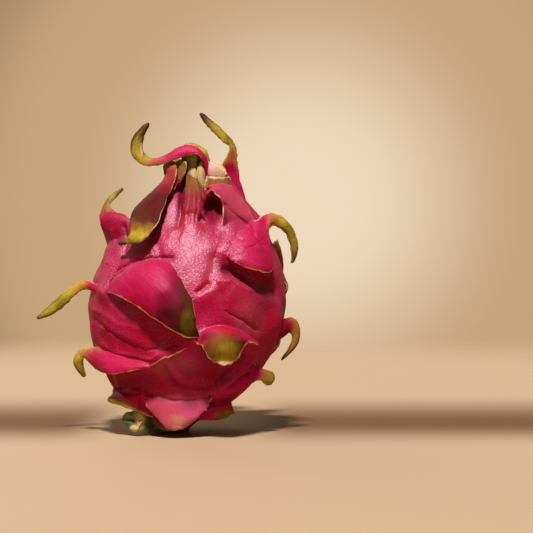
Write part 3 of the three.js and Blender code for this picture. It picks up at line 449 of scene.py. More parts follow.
# Folds and grooves of the skin: from and to as (azimuth, height), height and spread.
FOLDS = (
    ((26, 96), (14, 66), -1.3, 2.6), ((9, 62), (14, 65), -1.2, 1.2),
    ((-24, 84), (-16, 75), -0.9, 1.6), ((-50, 47), (-12, 37), 1.3, 3.5),
    ((-66, 76), (-50, 64), 1.2, 4), ((60, 62), (78, 34), 1.2, 5),
    ((16, 94), (20, 102), -4, 5), ((34, 70), (62, 62), -2.5, 4.5),
    ((-72, 24), (-24, 27), -2.2, 4.5), ((8, 31), (36, 26), -2, 4.5),
)

# Blots of colour in front: over x and z, the reach each way, what is coloured, how strongly, and
# whether only on a scale, only off one or anywhere. Some maroon blots are painted shade and the
# pale blots off the scales are painted light, as marked below; the rest are the fruit's own tones.
BLOTS = (
    (4.4, 48, 3.2, 6, "green", 0.4, True), (-3.4, 51.6, 7, 4.4, "maroon", 1, True),
    (-3.4, 56, 7.6, 7, "maroon", 0.75, True), (3.4, 57, 3.8, 8, "maroon", 0.9, True),
    (4.6, 48, 3.4, 6, "brown", 0.4, True), (6.6, 54, 1.6, 9, "brown", 0.45, True),
    (-14.4, 95, 4.5, 9, "maroon", 1, True), (-17.8, 86.6, 3.4, 2.8, "green", 1, True),
    (-9.5, 105, 4, 5, "brown", 0.35, True), (14, 41, 5, 3, "maroon", 0.7, True),
    (14, 36, 4, 3, "brown", 0.3, True), (22.4, 36.4, 6, 3, "green", 0.9, True),
    # Painted shade, up to the blot at -20, 22: the maroon blots in the dimple under the hood's
    # root, in the pocket, in the neck's folds, under the lower flap, below the right hood, in the
    # crevice under the left horn, under the front flap and under the lower left claw.
    (21, 29.6, 6, 1.7, "dry", 0.9, True), (21.4, 71.4, 3.6, 2.6, "maroon", 0.6, None),
    (15.4, 98, 4.6, 8, "maroon", 0.75, None), (15.6, 99, 4.2, 8.5, "grown", 1, False),
    (1.6, 103, 2, 8, "maroon", 0.7, False), (12.4, 101, 1.6, 9, "maroon", 0.8, False),
    (15.4, 30, 8, 9, "maroon", 0.35, False), (38, 60, 6, 9, "maroon", 0.35, False),
    (-26, 88, 6, 8, "maroon", 0.35, None), (-30, 54, 8, 7, "maroon", 0.2, False),
    (-20, 22, 12, 6, "maroon", 0.25, False), (22.4, 7, 6, 1.8, "green", 0.9, True),
    (22.4, 6.4, 6, 2, "brown", 0.45, True), (-0.8, 5, 1.4, 6, "pale", 0.2, True),
    (-0.4, 1.4, 5, 1.8, "dry", 0.66, True), (-0.6, 4.6, 4.4, 2.6, "green", 0.3, True),
    # Painted shadow: the maroon blot at the foot beside the bottom lobe. Painted light: the pale
    # blots off the scales, on the right side, over the highlight on the upper front and on the
    # lower middle.
    (8.4, 2.2, 4, 3.4, "maroon", 1, False), (31.5, 49, 7, 10, "pale", 0.08, False),
    (8, 75, 8, 9, "pale", 0.12, False), (-2, 29, 10, 5, "pale", 0.1, False),
    (39.6, 24, 3.5, 3.5, "brown", 0.4, True), (1.6, 66.5, 2.6, 6, "brown", 0.26, True),
    (15.6, 116, 3, 4, "dry", 0.7, True), (15.4, 112, 4.5, 1.8, "dry", 0.85, True),
    (-31, 99.5, 3, 8, "brown", 0.35, True), (-15.2, 127, 1.3, 7, "brown", 0.9, True),
    (-16, 124, 0.9, 4, "dry", 0.9, True), (22, 130, 1, 6, "brown", 0.5, True),
)

# Creases in front, as lines drawn over x and z, each with its height and spread.
CREASES = (
    (((20, 88), (19.4, 85.6), (17.6, 81.4), (15.8, 76.3)), -0.9, 0.9),
    (((18.2, 84), (16, 78)), 0.5, 1.4),
    (((8, 61), (10.6, 62), (12.6, 63.6), (13.5, 64.9)), -0.25, 0.6),
    (((8.2, 63.6), (11, 65.8)), 0.12, 1.8),
    (((15.8, 66.4), (19.4, 59.6), (21.1, 52.8)), -0.5, 1.2),
    (((21.1, 52.8), (27.3, 49.3), (31.7, 46.6), (35, 44.4)), -1.0, 0.9),
    (((17.5, 66), (24, 66), (31, 62)), 0.8, 1.8),
    (((20.8, 71.8), (24.4, 70.8)), -2.6, 2.6),
    (((18.9, 101.6), (21.1, 99.9), (26.8, 94.2), (31.7, 90), (34.3, 85.8), (37.4, 82)), -0.9, 0.7),
    (((26.6, 85), (28.7, 84.7)), -0.8, 0.7),
    (((30.6, 80.7), (34.6, 82.3)), -0.7, 0.7),
    (((19.4, 75.9), (26.8, 78.8), (31, 80)), -0.4, 1.2),
    (((-33, 63.5), (-29, 68.4), (-21, 74.4), (-12, 76.6), (-3, 76.4)), -1.4, 1.3),
    (((-17.4, 73.7), (-16.4, 76), (-12.9, 78.2)), -0.8, 0.7),
    (((-11.2, 79.2), (-10.1, 76.6), (-8.5, 75.6)), -0.8, 0.7),
    (((-36.5, 48.8), (-31.7, 44), (-25, 40), (-19.5, 36.7)), -1.2, 1.3),
    (((-17.8, 36.7), (-14.5, 35.4), (-9.9, 36)), -0.7, 0.9),
    (((-7.9, 38.9), (-3.5, 41.8)), -0.8, 0.8),
    (((-33, 38.4), (-27.7, 34.8), (-17.8, 33), (-12, 31.6), (-4.5, 34.8), (2.7, 38.8)), 1.0, 1.6),
    (((-36, 53), (-26, 47), (-14, 44)), 0.8, 2.6),
    (((-5.3, 28.2), (-2.6, 23.5), (0, 20.2), (5.3, 18.9), (11.9, 18.9), (15.8, 19.5)), -1.4, 1.5),
    (((-3.6, 31), (0, 25.6), (4, 23)), 0.8, 2.0),
    (((-14.5, 15.9), (-9.2, 16), (-4.6, 13.8), (2.6, 13.2), (11.9, 14.2), (14.9, 15.3)), -1.1,
     0.8),
    (((18, 18.9), (22.6, 22.2), (27.9, 26.8), (31.2, 30.1)), 1.5, 1.3),
    (((14.5, 19.5), (20.6, 24.2), (25.2, 28.8), (29.2, 33.4)), -1.5, 1.2),
    (((22.6, 19.5), (27.2, 22.9), (31.2, 25.5)), -1.2, 1.0),
    (((-28.4, 18.8), (-21.7, 16), (-18.5, 16), (-17, 16.7)), -1.6, 0.9),
    (((-26.4, 17.2), (-23.1, 14.6), (-19.1, 13.6)), 0.9, 1.0),
    (((-17, 15), (-16.5, 10.3)), -1.2, 1.0),
    (((-12.5, 27.5), (-14.5, 22.9), (-15.8, 18.2)), 0.9, 1.6),
    (((1.8, 110), (1.6, 104), (0.5, 97), (-1, 91)), -2.4, 1.3),
    (((5.4, 108), (5.6, 100), (4.6, 92)), -0.8, 0.7),
    (((8.6, 105), (8.6, 98), (8, 92)), -0.8, 0.7),
    (((11.9, 110.5), (12.1, 104), (11.7, 98), (10.6, 93)), -2.6, 1.1),
    (((3, 97), (3.4, 90), (1, 84)), 0.5, 1.4),
    (((-24, 90), (-22.6, 84), (-24, 78)), -1.3, 1.2),
    (((12, 9.2), (17, 10.4), (21.6, 12.3)), 0.9, 1.2),
    (((13, 12.4), (18, 13.4), (22.5, 14.6)), -0.8, 0.9),
    (((-29, 88), (-28, 82), (-30, 74)), 1.0, 2.0),
)

# ---- Relief of the skin ---------------------------------------------------------------------


def turn_of(azimuth):
    return (azimuth + 540) % 360 - 180


def root_of(scale):
    """Where a scale grows: azimuth, height, heading over the skin, half width and distance from
    the axis."""
    a, b = np.array(scale["a"][:2]), np.array(scale["b"][:2])
    centre = (a + b) / 2
    side = centre[:, 0] - LEAN * centre[:, 2]
    azimuth = np.degrees(np.arctan2(side, -centre[:, 1]))
    reach = np.hypot(side, centre[:, 1])
    across = math.radians(turn_of(azimuth[1] - azimuth[0])) * reach[0]
    up = centre[1, 2] - centre[0, 2]
    length = math.hypot(across, up) or 1
    half = np.linalg.norm(a[0] - b[0]) / 2
    return azimuth[0], centre[0, 2], across / length, up / length, half, reach[0]


ROOTS = [root_of(scale) for scale in SCALES.values()]


def nearest_share(x, z, end_x, end_z):
    """How far along a line from the origin to an end the point nearest to each place lies."""
    return np.clip((x * end_x + z * end_z) / (end_x**2 + end_z**2), 0, 1)


def relief_fade(z):
    return smooth(z / RELIEF_FADE) * smooth((BODY_HEIGHT - z) / RELIEF_FADE)


def relief_at(azimuth, z):
    """How far the skin stands out of the smooth body, from its folds and its scales' roots."""
    radius = radius_at(z)
    relief = np.zeros_like(z)
    for start, end, height, spread in FOLDS:
        dx, dz = np.radians(turn_of(azimuth - start[0])) * radius, z - start[1]
        ex, ez = math.radians(end[0] - start[0]) * radius, end[1] - start[1]
        t = nearest_share(dx, dz, ex, ez)
        relief += height * np.exp(-((dx - t * ex) ** 2 + (dz - t * ez) ** 2) / spread**2)
    for start, height, over, up, half, reach in ROOTS:
        if reach < radius_at(height) - HIDDEN_ROOT:
            continue
        dx, dz = np.radians(turn_of(azimuth - start)) * radius, z - height
        ahead, aside = dx * over + dz * up, dx * up - dz * over
        wide = max(SWELL_WIDTH, half * 0.8)
        relief += SWELL_HEIGHT * np.exp(-((ahead / SWELL_REACH) ** 2) - (aside / wide) ** 2)
    return relief * relief_fade(z)


def noise_at(places, period, seed=0.0):
    """Smooth noise from -1 to 1 at places, with bumps about one period apart."""
    shift = Vector((seed * 7.3, seed * 3.1, seed * 5.7))
    return np.array([noise.noise(Vector(p) / period + shift) for p in places])


def bumps_at(places, rows):
    """Noises added up, each given as a height, a period and a seed."""
    return sum(height * noise_at(places, period, seed) for height, period, seed in rows)


# ---- The fruit's mesh -----------------------------------------------------------------------

# Steps across and along a scale's sheet.
GRIDS = {
    "large": (40, 60), "ribbon": (18, 120), "claw": (28, 110), "horn": (20, 80),
    "lobe": (40, 34), "small": (20, 44), "back": (24, 44),
}
# A scale's thickness at its root and tip, and the share of it that is left at the margin.
THICKNESS, TIP_THICKNESS, MARGIN_SHARE = 1.6, 1.2, 0.52
TANGENT_STEP = 0.01
RIB_HEIGHT, DENT_HEIGHT, SCORCH_WIDTH = 0.16, 0.25, 0.6
TIP_SHARE = 0.93  # from here on the end of a scale is ragged
SEED_STEP = 11.0  # between the noises of two scales
GROWN_FROM, GROWN_OVER = 0.08, 0.2  # shares of a scale over which it takes its own look
# How far the colours' and creases' lines are shaken, at which period, and the seeds.
SHAKE, SHAKE_PERIOD, SHAKE_SEEDS = 0.5, 3.5, (51, 52)
# Of the fine wrinkles: the warp's, ridges' and grain's periods, and their seeds.
WRINKLE_PERIODS, WRINKLE_SEEDS = (5.0, 2.6, 1.3), (31, 32, 33)
NEAREST, SOFTNESS = 3, 0.02  # places that colour a vertex, and how softly they share
# Of these, maroon also carries painted shade on the bare skin and pale carries painted light
# there, both from the blots.
TONES = ("green", "maroon", "brown", "dry", "inner", "pale")


def spun(bm, outline, steps):
    """Spins an outline, given as radius and height, to a closed form, and returns its places,
    their distances from the axis and their heights."""
    verts = [bm.verts.new((r, 0, z)) for r, z in outline]
    edges = [bm.edges.new(pair) for pair in zip(verts, verts[1:])]
    bmesh.ops.spin(
        bm, geom=verts + edges, axis=(0, 0, 1), cent=(0, 0, 0), steps=steps, angle=math.tau,
        use_merge=True,
    )
    bmesh.ops.remove_doubles(bm, verts=bm.verts, dist=1e-4)
    bmesh.ops.recalc_face_normals(bm, faces=bm.faces)
    places = np.array([v.co for v in bm.verts])
    return places, np.hypot(places[:, 0], places[:, 1]), places[:, 2]


def body_mesh(bm):
    """The egg-shaped body, spun from its outline, leant over and given its relief."""
    heights = BODY_HEIGHT * (1 - np.cos(np.pi * np.linspace(0, 1, BODY_ROWS))) / 2
    outline = [(0.0, 0.0), (FOOT_RADIUS, 0.0)] + list(zip(radius_at(heights), heights))
    places, radius, z = spun(bm, outline + list(CRATER), BODY_STEPS)
    turn = np.arctan2(places[:, 0], -places[:, 1])
    outer = radius > radius_at(z) - 0.01
    warped = places + noise_at(places, 9, 3)[:, None] * (2.5, -2, 3)
    ridged = 0.5 - np.abs(noise_at(warped * (1, 1, 0.7), RIDGE_PERIOD, RIDGE_SEED)) * 2
    lumps = bumps_at(places, LUMPS) + RIDGE_HEIGHT * ridged
    relief = relief_at(np.degrees(turn), z) + lumps * relief_fade(z)
    out = radius + np.where(outer, relief, 0)
    dip = CROWN_DIP * smooth((z - BODY_HEIGHT + DIP_HEIGHT) / DIP_HEIGHT)
    dip = dip * np.exp(-((turn / DIP_TURN) ** 2)) * (radius / (radius + 3))
    places = np.stack([LEAN * z + out * np.sin(turn), -out * np.cos(turn), z - dip], axis=1)
    for v, place in zip(bm.verts, places):
        v.co = place
    return places


def blade_frames(scale, t):
    """A scale's edges, middle line and outward direction at the rising shares t."""
    a, b = rows_at(scale["a"], t), rows_at(scale["b"], t)
    ahead, behind = (
        rows_at(scale["a"], t + step) + rows_at(scale["b"], t + step)
        for step in (TANGENT_STEP, -TANGENT_STEP)
    )
    out = unit(np.cross(ahead - behind, b - a))
    if out[0] @ (a[0] * (1, 1, 0)) < 0:
        out[0] *= -1
    for i in range(1, len(t)):
        if out[i] @ out[i - 1] < 0:
            out[i] *= -1
    if scale["middle"]:
        middle = rows_at(scale["middle"], t)
    else:
        half = np.linalg.norm(b - a, axis=1)[:, None] / 2
        middle = (a + b) / 2 + out * mix(*scale["bow"], t[:, None]) * half
    return a, b, middle, out


def blade_sheet(scale, seed):
    """A scale's sheet as grids over its length and width: the places on its outer and inner
    faces, and what colours them."""
    across, along = GRIDS[scale["size"]]
    t = np.linspace(0, 1, along + 1)
    a, b, middle, out = (rows[:, None, :] for rows in blade_frames(scale, t))
    U, T = np.meshgrid(np.linspace(-1, 1, across + 1), t)
    W = U[..., None]
    half = np.linalg.norm(b - a, axis=2) / 2
    length = np.linalg.norm(np.diff(middle[:, 0], axis=0), axis=1).sum()
    grain = np.stack([U * half, T * length, np.full_like(T, seed * SEED_STEP)], axis=2)
    rim = np.abs(U) ** 4

    def waves(period, number, stretch=(1, 1, 1)):
        places = grain.reshape(-1, 3) * stretch
        return noise_at(places, period, seed + number).reshape(T.shape)

    sheet = middle * (1 - W**2) + a * (W**2 - W) / 2 + b * (W**2 + W) / 2
    sway = scale["ruffle"] * np.sin(T * 11 + U * 1.5) * np.abs(U) ** 3
    sway += 0.9 * scale["ruffle"] * waves(2.6, 1) * rim
    uneven = waves(1.5, 2, (1, 0.14, 1)) * RIB_HEIGHT + waves(5.0, 3) * DENT_HEIGHT
    rise = sway + uneven * smooth((T - 0.06) / 0.2)
    ragged = (waves(1.7, 4) * 0.4 + waves(4.2, 5) * 0.5) * rim * np.sign(U) * smooth(T / 0.2)
    sheet = sheet + out * rise[..., None] + unit(b - a) * ragged[..., None]
    end = np.clip((T - TIP_SHARE) / (1 - TIP_SHARE), 0, 1) ** 2 * (waves(2.2, 6) * 0.8 - 0.3)
    sheet = sheet + unit(np.gradient(middle[:, 0], axis=0)[:, None, :]) * end[..., None]

    normal = unit(np.cross(np.gradient(sheet, axis=0), np.gradient(sheet, axis=1)))
    if np.sum(normal * out) < 0:
        normal = -normal
    thick = scale["thick"] * mix(THICKNESS, TIP_THICKNESS, T) * mix(1, MARGIN_SHARE, U**4)
    outer = sheet + normal * (thick / 2)[..., None]
    inner = sheet - normal * (thick / 2)[..., None]

    stops = np.array(scale["tones"], float)
    ahead = scale["lead"] * U**2 * smooth(T / 0.4) + scale["skew"] * U * smooth(T / 0.15)
    share = np.clip(T + ahead + 0.03 * waves(3.5, 7), 0, 1)
    green, maroon, brown = (np.interp(share, stops[:, 0], stops[:, k]) for k in (1, 2, 3))
    from_side, from_end = (1 - np.abs(U)) * half, (1 - T) * length
    vary = (1 + 0.7 * waves(3.0, 8)) * smooth(T / 0.25)
    dry = np.maximum(
        1.2 - from_side / np.maximum(scale["dry"] * vary, 0.01),
        1.2 - from_end / np.maximum(scale["torn"] * vary, 0.01),
    )
    dry = np.clip(dry, 0, 1) * smooth((T - 0.05) / 0.2) * (scale["dry"] > 0)
    scorched = np.clip(1.1 - from_side / SCORCH_WIDTH, 0, 1) * green
    brown = np.maximum(brown, scorched * np.clip(0.5 + 1.2 * waves(2.4, 9), 0, 1))
    pale = scale["pale"] * smooth(T / 0.4)
    tones = np.stack([green, maroon, brown, dry, np.zeros_like(dry), pale], axis=2)
    return outer, inner, tones, grain, T


def blade_mesh(bm, outer, inner):
    """A closed blade between two faces given as grids of places."""
    along, across = outer.shape[0] - 1, outer.shape[1] - 1
    face = bmesh.ops.create_grid(bm, x_segments=across, y_segments=along, size=1)["verts"]
    place = bm.verts.layers.int["place"]
    for v in face:
        row, column = round((v.co.y + 1) / 2 * along), round((v.co.x + 1) / 2 * across)
        v[place] = row * (across + 1) + column
    faces = list(dict.fromkeys(f for v in face for f in v.link_faces))
    copy = bmesh.ops.extrude_face_region(bm, geom=faces, use_keep_orig=True)["geom"]
    for verts, places in ((face, outer), (copy, inner)):
        places = places.reshape(-1, 3)
        for v in verts:
            if isinstance(v, bmesh.types.BMVert):
                v.co = places[v[place]]


def grown_samples(bm):
    """Models the body and all scales into bm, and returns places all over them with what
    colours each place."""
    body = body_mesh(bm)
    bm.verts.layers.int.new("place")
    count = len(body)
    parts = [(body, np.zeros((count, len(TONES))), np.zeros((count, 3)), np.zeros(count))]
    for number, scale in enumerate(SCALES.values(), 1):
        outer, inner, tone, grain, share = blade_sheet(scale, number)
        blade_mesh(bm, outer, inner)
        under = tone.copy()
        under[..., TONES.index("inner")] = smooth(share / 0.2)
        for points, colours, sign in ((outer, tone, 1), (inner, under, -1)):
            parts.append((
                points.reshape(-1, 3), colours.reshape(-1, len(TONES)), grain.reshape(-1, 3),
                sign * (share.reshape(-1) + 0.001),
            ))
    bmesh.ops.recalc_face_normals(bm, faces=bm.faces)
    return [np.concatenate(rows) for rows in zip(*parts)]


def tree_of(places):
    tree = kdtree.KDTree(len(places))
    for i, place in enumerate(places):
        tree.insert(place, i)
    tree.balance()
    return tree


def vertex_rows(mesh, what="co"):
    """The places of a mesh's vertices, or their normals."""
    flat = np.empty(len(mesh.vertices) * 3, np.float32)
    mesh.vertices.foreach_get(what, flat)
    return flat.reshape(-1, 3).astype(float)


def place_all(mesh, places):
    mesh.vertices.foreach_set("co", places.astype(np.float32).reshape(-1))
    mesh.update()


def add_layer(mesh, name, values, kind="FLOAT", entry="value"):
    layer = mesh.attributes.new(name, kind, "POINT")
    layer.data.foreach_set(entry, values.astype(np.float32).reshape(-1))


def mesh_from(bm, name):
    """Turns a finished bmesh into a mesh."""
    mesh = bpy.data.meshes.new(name)
    bm.to_mesh(mesh)
    bm.free()
    return mesh


def linked(name, data):
    """A new object in the scene."""
    thing = bpy.data.objects.new(name, data)
    bpy.context.scene.collection.objects.link(thing)
    return thing


def shaped(thing, kind, **settings):
    """Applies a modifier to an object's mesh."""
    modifier = thing.modifiers.new(kind.lower(), kind)
    for key, value in settings.items():
        setattr(modifier, key, value)
    graph = bpy.context.evaluated_depsgraph_get()
    mesh = bpy.data.meshes.new_from_object(thing.evaluated_get(graph))
    thing.modifiers.clear()
    thing.vertex_groups.clear()
    thing.data = mesh
    return mesh


ROOT_LIFT = 0.8  # roots cross the skin where a scale lies within this of it
FILLET_ROUNDS, FILLET_FACTOR = 6, 0.6


def filleted(thing, places, shares, reach):
    """Smooths the skin where the scales' roots leave the body."""
    side = places[:, 0] - LEAN * places[:, 2]
    azimuth = np.degrees(np.arctan2(side, -places[:, 1]))
    height = np.clip(places[:, 2], 0, BODY_HEIGHT)
    lift = np.hypot(side, places[:, 1]) - (radius_at(height) + relief_at(azimuth, height))
    tree = tree_of(places[(np.abs(lift) < ROOT_LIFT) & (shares > 0)])
    group = thing.vertex_groups.new(name="roots")
    for i, place in enumerate(vertex_rows(thing.data) / MM):
        distance = tree.find(place)[2]
        if distance < reach:
            group.add((i,), 1 - distance / reach, "REPLACE")
    return shaped(
        thing, "SMOOTH", factor=FILLET_FACTOR, iterations=FILLET_ROUNDS, vertex_group="roots"
    )


def front_view(places, normals):
    """Where places are seen from the front, a little shaken, and how far they face it."""
    near = (EYE_DISTANCE + places[:, 1]) / EYE_DISTANCE
    aside, up = (SHAKE * noise_at(places, SHAKE_PERIOD, seed) for seed in SHAKE_SEEDS)
    x = EYE_X + (places[:, 0] - EYE_X) / near + aside
    z = EYE_Z + (places[:, 2] - EYE_Z) / near + up
    return x, z, smooth((-normals[:, 1] - 0.05) / 0.4)


def blot_at(x, z, across, up, wide, tall):
    """How strongly an even blot with a soft edge covers places seen at x and z."""
    return np.exp(-(((x - across) / wide) ** 2 + ((z - up) / tall) ** 2) ** 2)


def crease_at(places, normals):
    """How far the drawn creases lift or press the skin at places that face the front."""
    x, z, facing = front_view(places, normals)
    pushes, pulls = np.zeros_like(z), np.zeros_like(z)
    for line, height, spread in CREASES:
        for start, end in zip(line, line[1:]):
            dx, dz = x - start[0], z - start[1]
            ex, ez = end[0] - start[0], end[1] - start[1]
            t = nearest_share(dx, dz, ex, ez)
            away = np.hypot(dx - t * ex, dz - t * ez) / spread
            rise = height * np.exp(-away * np.minimum(1, 0.4 + away))
            pushes, pulls = np.maximum(pushes, rise), np.minimum(pulls, rise)
    return (pushes + pulls) * facing


def creased(mesh):
    """Lifts and presses the skin along the drawn creases."""
    places, normals = vertex_rows(mesh), vertex_rows(mesh, "normal")
    rise = crease_at(places / MM, normals)
    place_all(mesh, places + normals * rise[:, None] * MM)


def wrinkled(mesh, height):
    """Fine wrinkles pushed along the normals, fainter on the scales."""
    places = vertex_rows(mesh)
    grown = np.empty(len(places), np.float32)
    mesh.attributes["grown"].data.foreach_get("value", grown)
    mm = places / MM
    first, *others = zip(WRINKLE_PERIODS, WRINKLE_SEEDS)
    warp = noise_at(mm, *first)[:, None] * (1.6, -1.1, 1.3)
    ridges, grain = (noise_at(mm + warp, *other) for other in others)
    rise = 0.6 * (1 - 2 * np.abs(ridges)) + 0.4 * grain
    rise = rise * height * (1 - 0.7 * grown) * smooth(mm[:, 2] / 3)
    place_all(mesh, places + vertex_rows(mesh, "normal") * rise[:, None] * MM)


def one_shell(mesh):
    """Keeps the largest connected shell and drops what is loose inside it."""
    bm = bmesh.new()
    bm.from_mesh(mesh)
    left = set(bm.verts)
    shells = []
    while left:
        front = [left.pop()]
        shell = list(front)
        while front:
            step = [e.other_vert(v) for v in front for e in v.link_edges]
            front = []
            for v in step:
                if v in left:
                    left.remove(v)
                    front.append(v)
            shell += front
        shells.append(shell)
    shells.sort(key=len)
    for shell in shells[:-1]:
        bmesh.ops.delete(bm, geom=shell, context="VERTS")
    bm.to_mesh(mesh)
    bm.free()


def painted(mesh, places, tones, grains, shares):
    """Gives each vertex the colour tones of the nearest places as attributes, with the painted
    shade of the creases and the blots, some of which paint shade and light.
    """
    tree = tree_of(places)
    spots, normals = vertex_rows(mesh) / MM, vertex_rows(mesh, "normal")
    tone_rows = np.zeros((len(spots), len(TONES)))
    grain_rows = np.zeros((len(spots), 3))
    grown = np.zeros(len(spots))
    for i, place in enumerate(spots):
        near = tree.find_n(place, NEAREST)
        index = [hit[1] for hit in near]
        weight = np.array([1 / (hit[2] ** 2 + SOFTNESS) for hit in near])
        weight /= weight.sum()
        tone_rows[i] = weight @ tones[index]
        grain_rows[i] = grains[index[0]]
        grown[i] = weight @ np.clip((np.abs(shares[index]) - GROWN_FROM) / GROWN_OVER, 0, 1)
    layers = dict(zip(TONES, tone_rows.T), grown=grown)
    # Painted shade in the creases, as deep as each is pressed in.
    layers["crease_shade"] = np.clip(-crease_at(spots, normals), 0, 1)
    x, z, facing = front_view(spots, normals)
    for *spread, name, amount, on_scale in BLOTS:
        near = blot_at(x, z, *spread) * facing
        if on_scale is not None:
            near *= smooth(grown * 3) if on_scale else 1 - grown
        layers[name] = np.maximum(layers[name], amount * near)
    for name, values in layers.items():
        add_layer(mesh, name, values)
    add_layer(mesh, "grain", grain_rows * MM, "FLOAT_VECTOR", "vector")


def dress(thing, material, node):
    """Gives a finished piece its material, its body and the node it stands for."""
    thing.data.materials.clear()
    thing.data.materials.append(material)
    thing.data.polygons.foreach_set("use_smooth", [True] * len(thing.data.polygons))
    thing.data.update()
    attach(thing, BODY)
    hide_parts(node)


# ---- Materials ------------------------------------------------------------------------------

FLOOR_FADE = (0.42, 0.9)  # distances over which the floor fades into the sweep
# Depths of the finishes' relief, in metres.
WORM_DEPTH, CRACKLE_DEPTH, STREAK_DEPTH, GRAIN_DEPTH, FIBRE_DEPTH = (
    0.00016, 0.0002, 0.0003, 0.00006, 0.0005,
)


class Nodes:
    """A node tree, with short calls for the nodes that the finishes use."""

    def __init__(self, owner, shader="Principled BSDF"):
        self.owner = owner
        owner.use_nodes = True
        self.tree = owner.node_tree
        self.shader = self.tree.nodes[shader]

    def add(self, kind, **settings):
        node = self.tree.nodes.new(kind)
        for key, value in settings.items():
            setattr(node, key, value)
        return node

    def join(self, value, socket):
        if isinstance(value, bpy.types.NodeSocket):
            self.tree.links.new(value, socket)
        else:
            socket.default_value = value

    def give(self, name, value):
        self.join(value, self.shader.inputs[name])

    def fed(self, node, **inputs):
        """Joins values to a node's inputs, whose names are written with _ for a space."""
        for name, value in inputs.items():
            self.join(value, node.inputs[name.replace("_", " ")])
        return node.outputs

    def object_places(self):
        return self.add("ShaderNodeTexCoord").outputs["Object"]

    def attribute(self, name, output="Fac"):
        return self.add("ShaderNodeAttribute", attribute_name=name).outputs[output]

    def noise(self, places, scale, detail=3, rough=0.5, kind="FBM", warp=0, output="Fac"):
        node = self.add("ShaderNodeTexNoise", noise_type=kind)
        return self.fed(
            node, Vector=places, Scale=scale, Detail=detail, Roughness=rough, Distortion=warp
        )[output]

    def cells(self, places, scale, feature="F1"):
        node = self.add("ShaderNodeTexVoronoi", feature=feature)
        return self.fed(node, Vector=places, Scale=scale)["Distance"]

    def operate(self, kind, operation, values, **settings):
        node = self.add(kind, operation=operation, **settings)
        for value, socket in zip(values, node.inputs):
            self.join(value, socket)
        return node.outputs

    def math(self, operation, *values, clamp=False):
        return self.operate("ShaderNodeMath", operation, values, use_clamp=clamp)[0]

    def vector(self, operation, *values, output="Vector"):
        return self.operate("ShaderNodeVectorMath", operation, values)[output]

    def times(self, first, second):
        return self.math("MULTIPLY", first, second)

    def less(self, value, whole=1.0):
        """What is left of a whole."""
        return self.math("SUBTRACT", whole, value)

    def axes(self, vector):
        return self.fed(self.add("ShaderNodeSeparateXYZ"), Vector=vector)

    def ramp(self, value, low, high, to_low=0.0, to_high=1.0):
        node = self.add("ShaderNodeMapRange", interpolation_type="SMOOTHSTEP")
        return self.fed(
            node, Value=value, From_Min=low, From_Max=high, To_Min=to_low, To_Max=to_high
        )["Result"]

    def blend(self, factor, first, second):
        """Lays the second colour over the first."""
        node = self.add("ShaderNodeMix", data_type="RGBA")
        for value, name in ((factor, "Factor_Float"), (first, "A_Color"), (second, "B_Color")):
            if name != "Factor_Float" and not isinstance(value, bpy.types.NodeSocket):
                value = (*value, 1)
            self.join(value, next(s for s in node.inputs if s.identifier == name))
        return next(s for s in node.outputs if s.identifier == "Result_Color")

    def stretched(self, places, scale):
        return self.fed(self.add("ShaderNodeMapping"), Vector=places, Scale=scale)["Vector"]

    def bump(self, height, distance, strength, **under):
        sizes = {"Distance": distance, "Strength": strength}
        return self.fed(self.add("ShaderNodeBump"), Height=height, **sizes, **under)["Normal"]

    def frayed(self, tone, pattern, amount):
        """A tone whose soft borders break up along a pattern."""
        middle = self.times(tone, self.less(tone))
        shift = self.times(self.math("SUBTRACT", pattern, 0.5), amount)
        return self.math("ADD", tone, self.times(middle, shift), clamp=True)


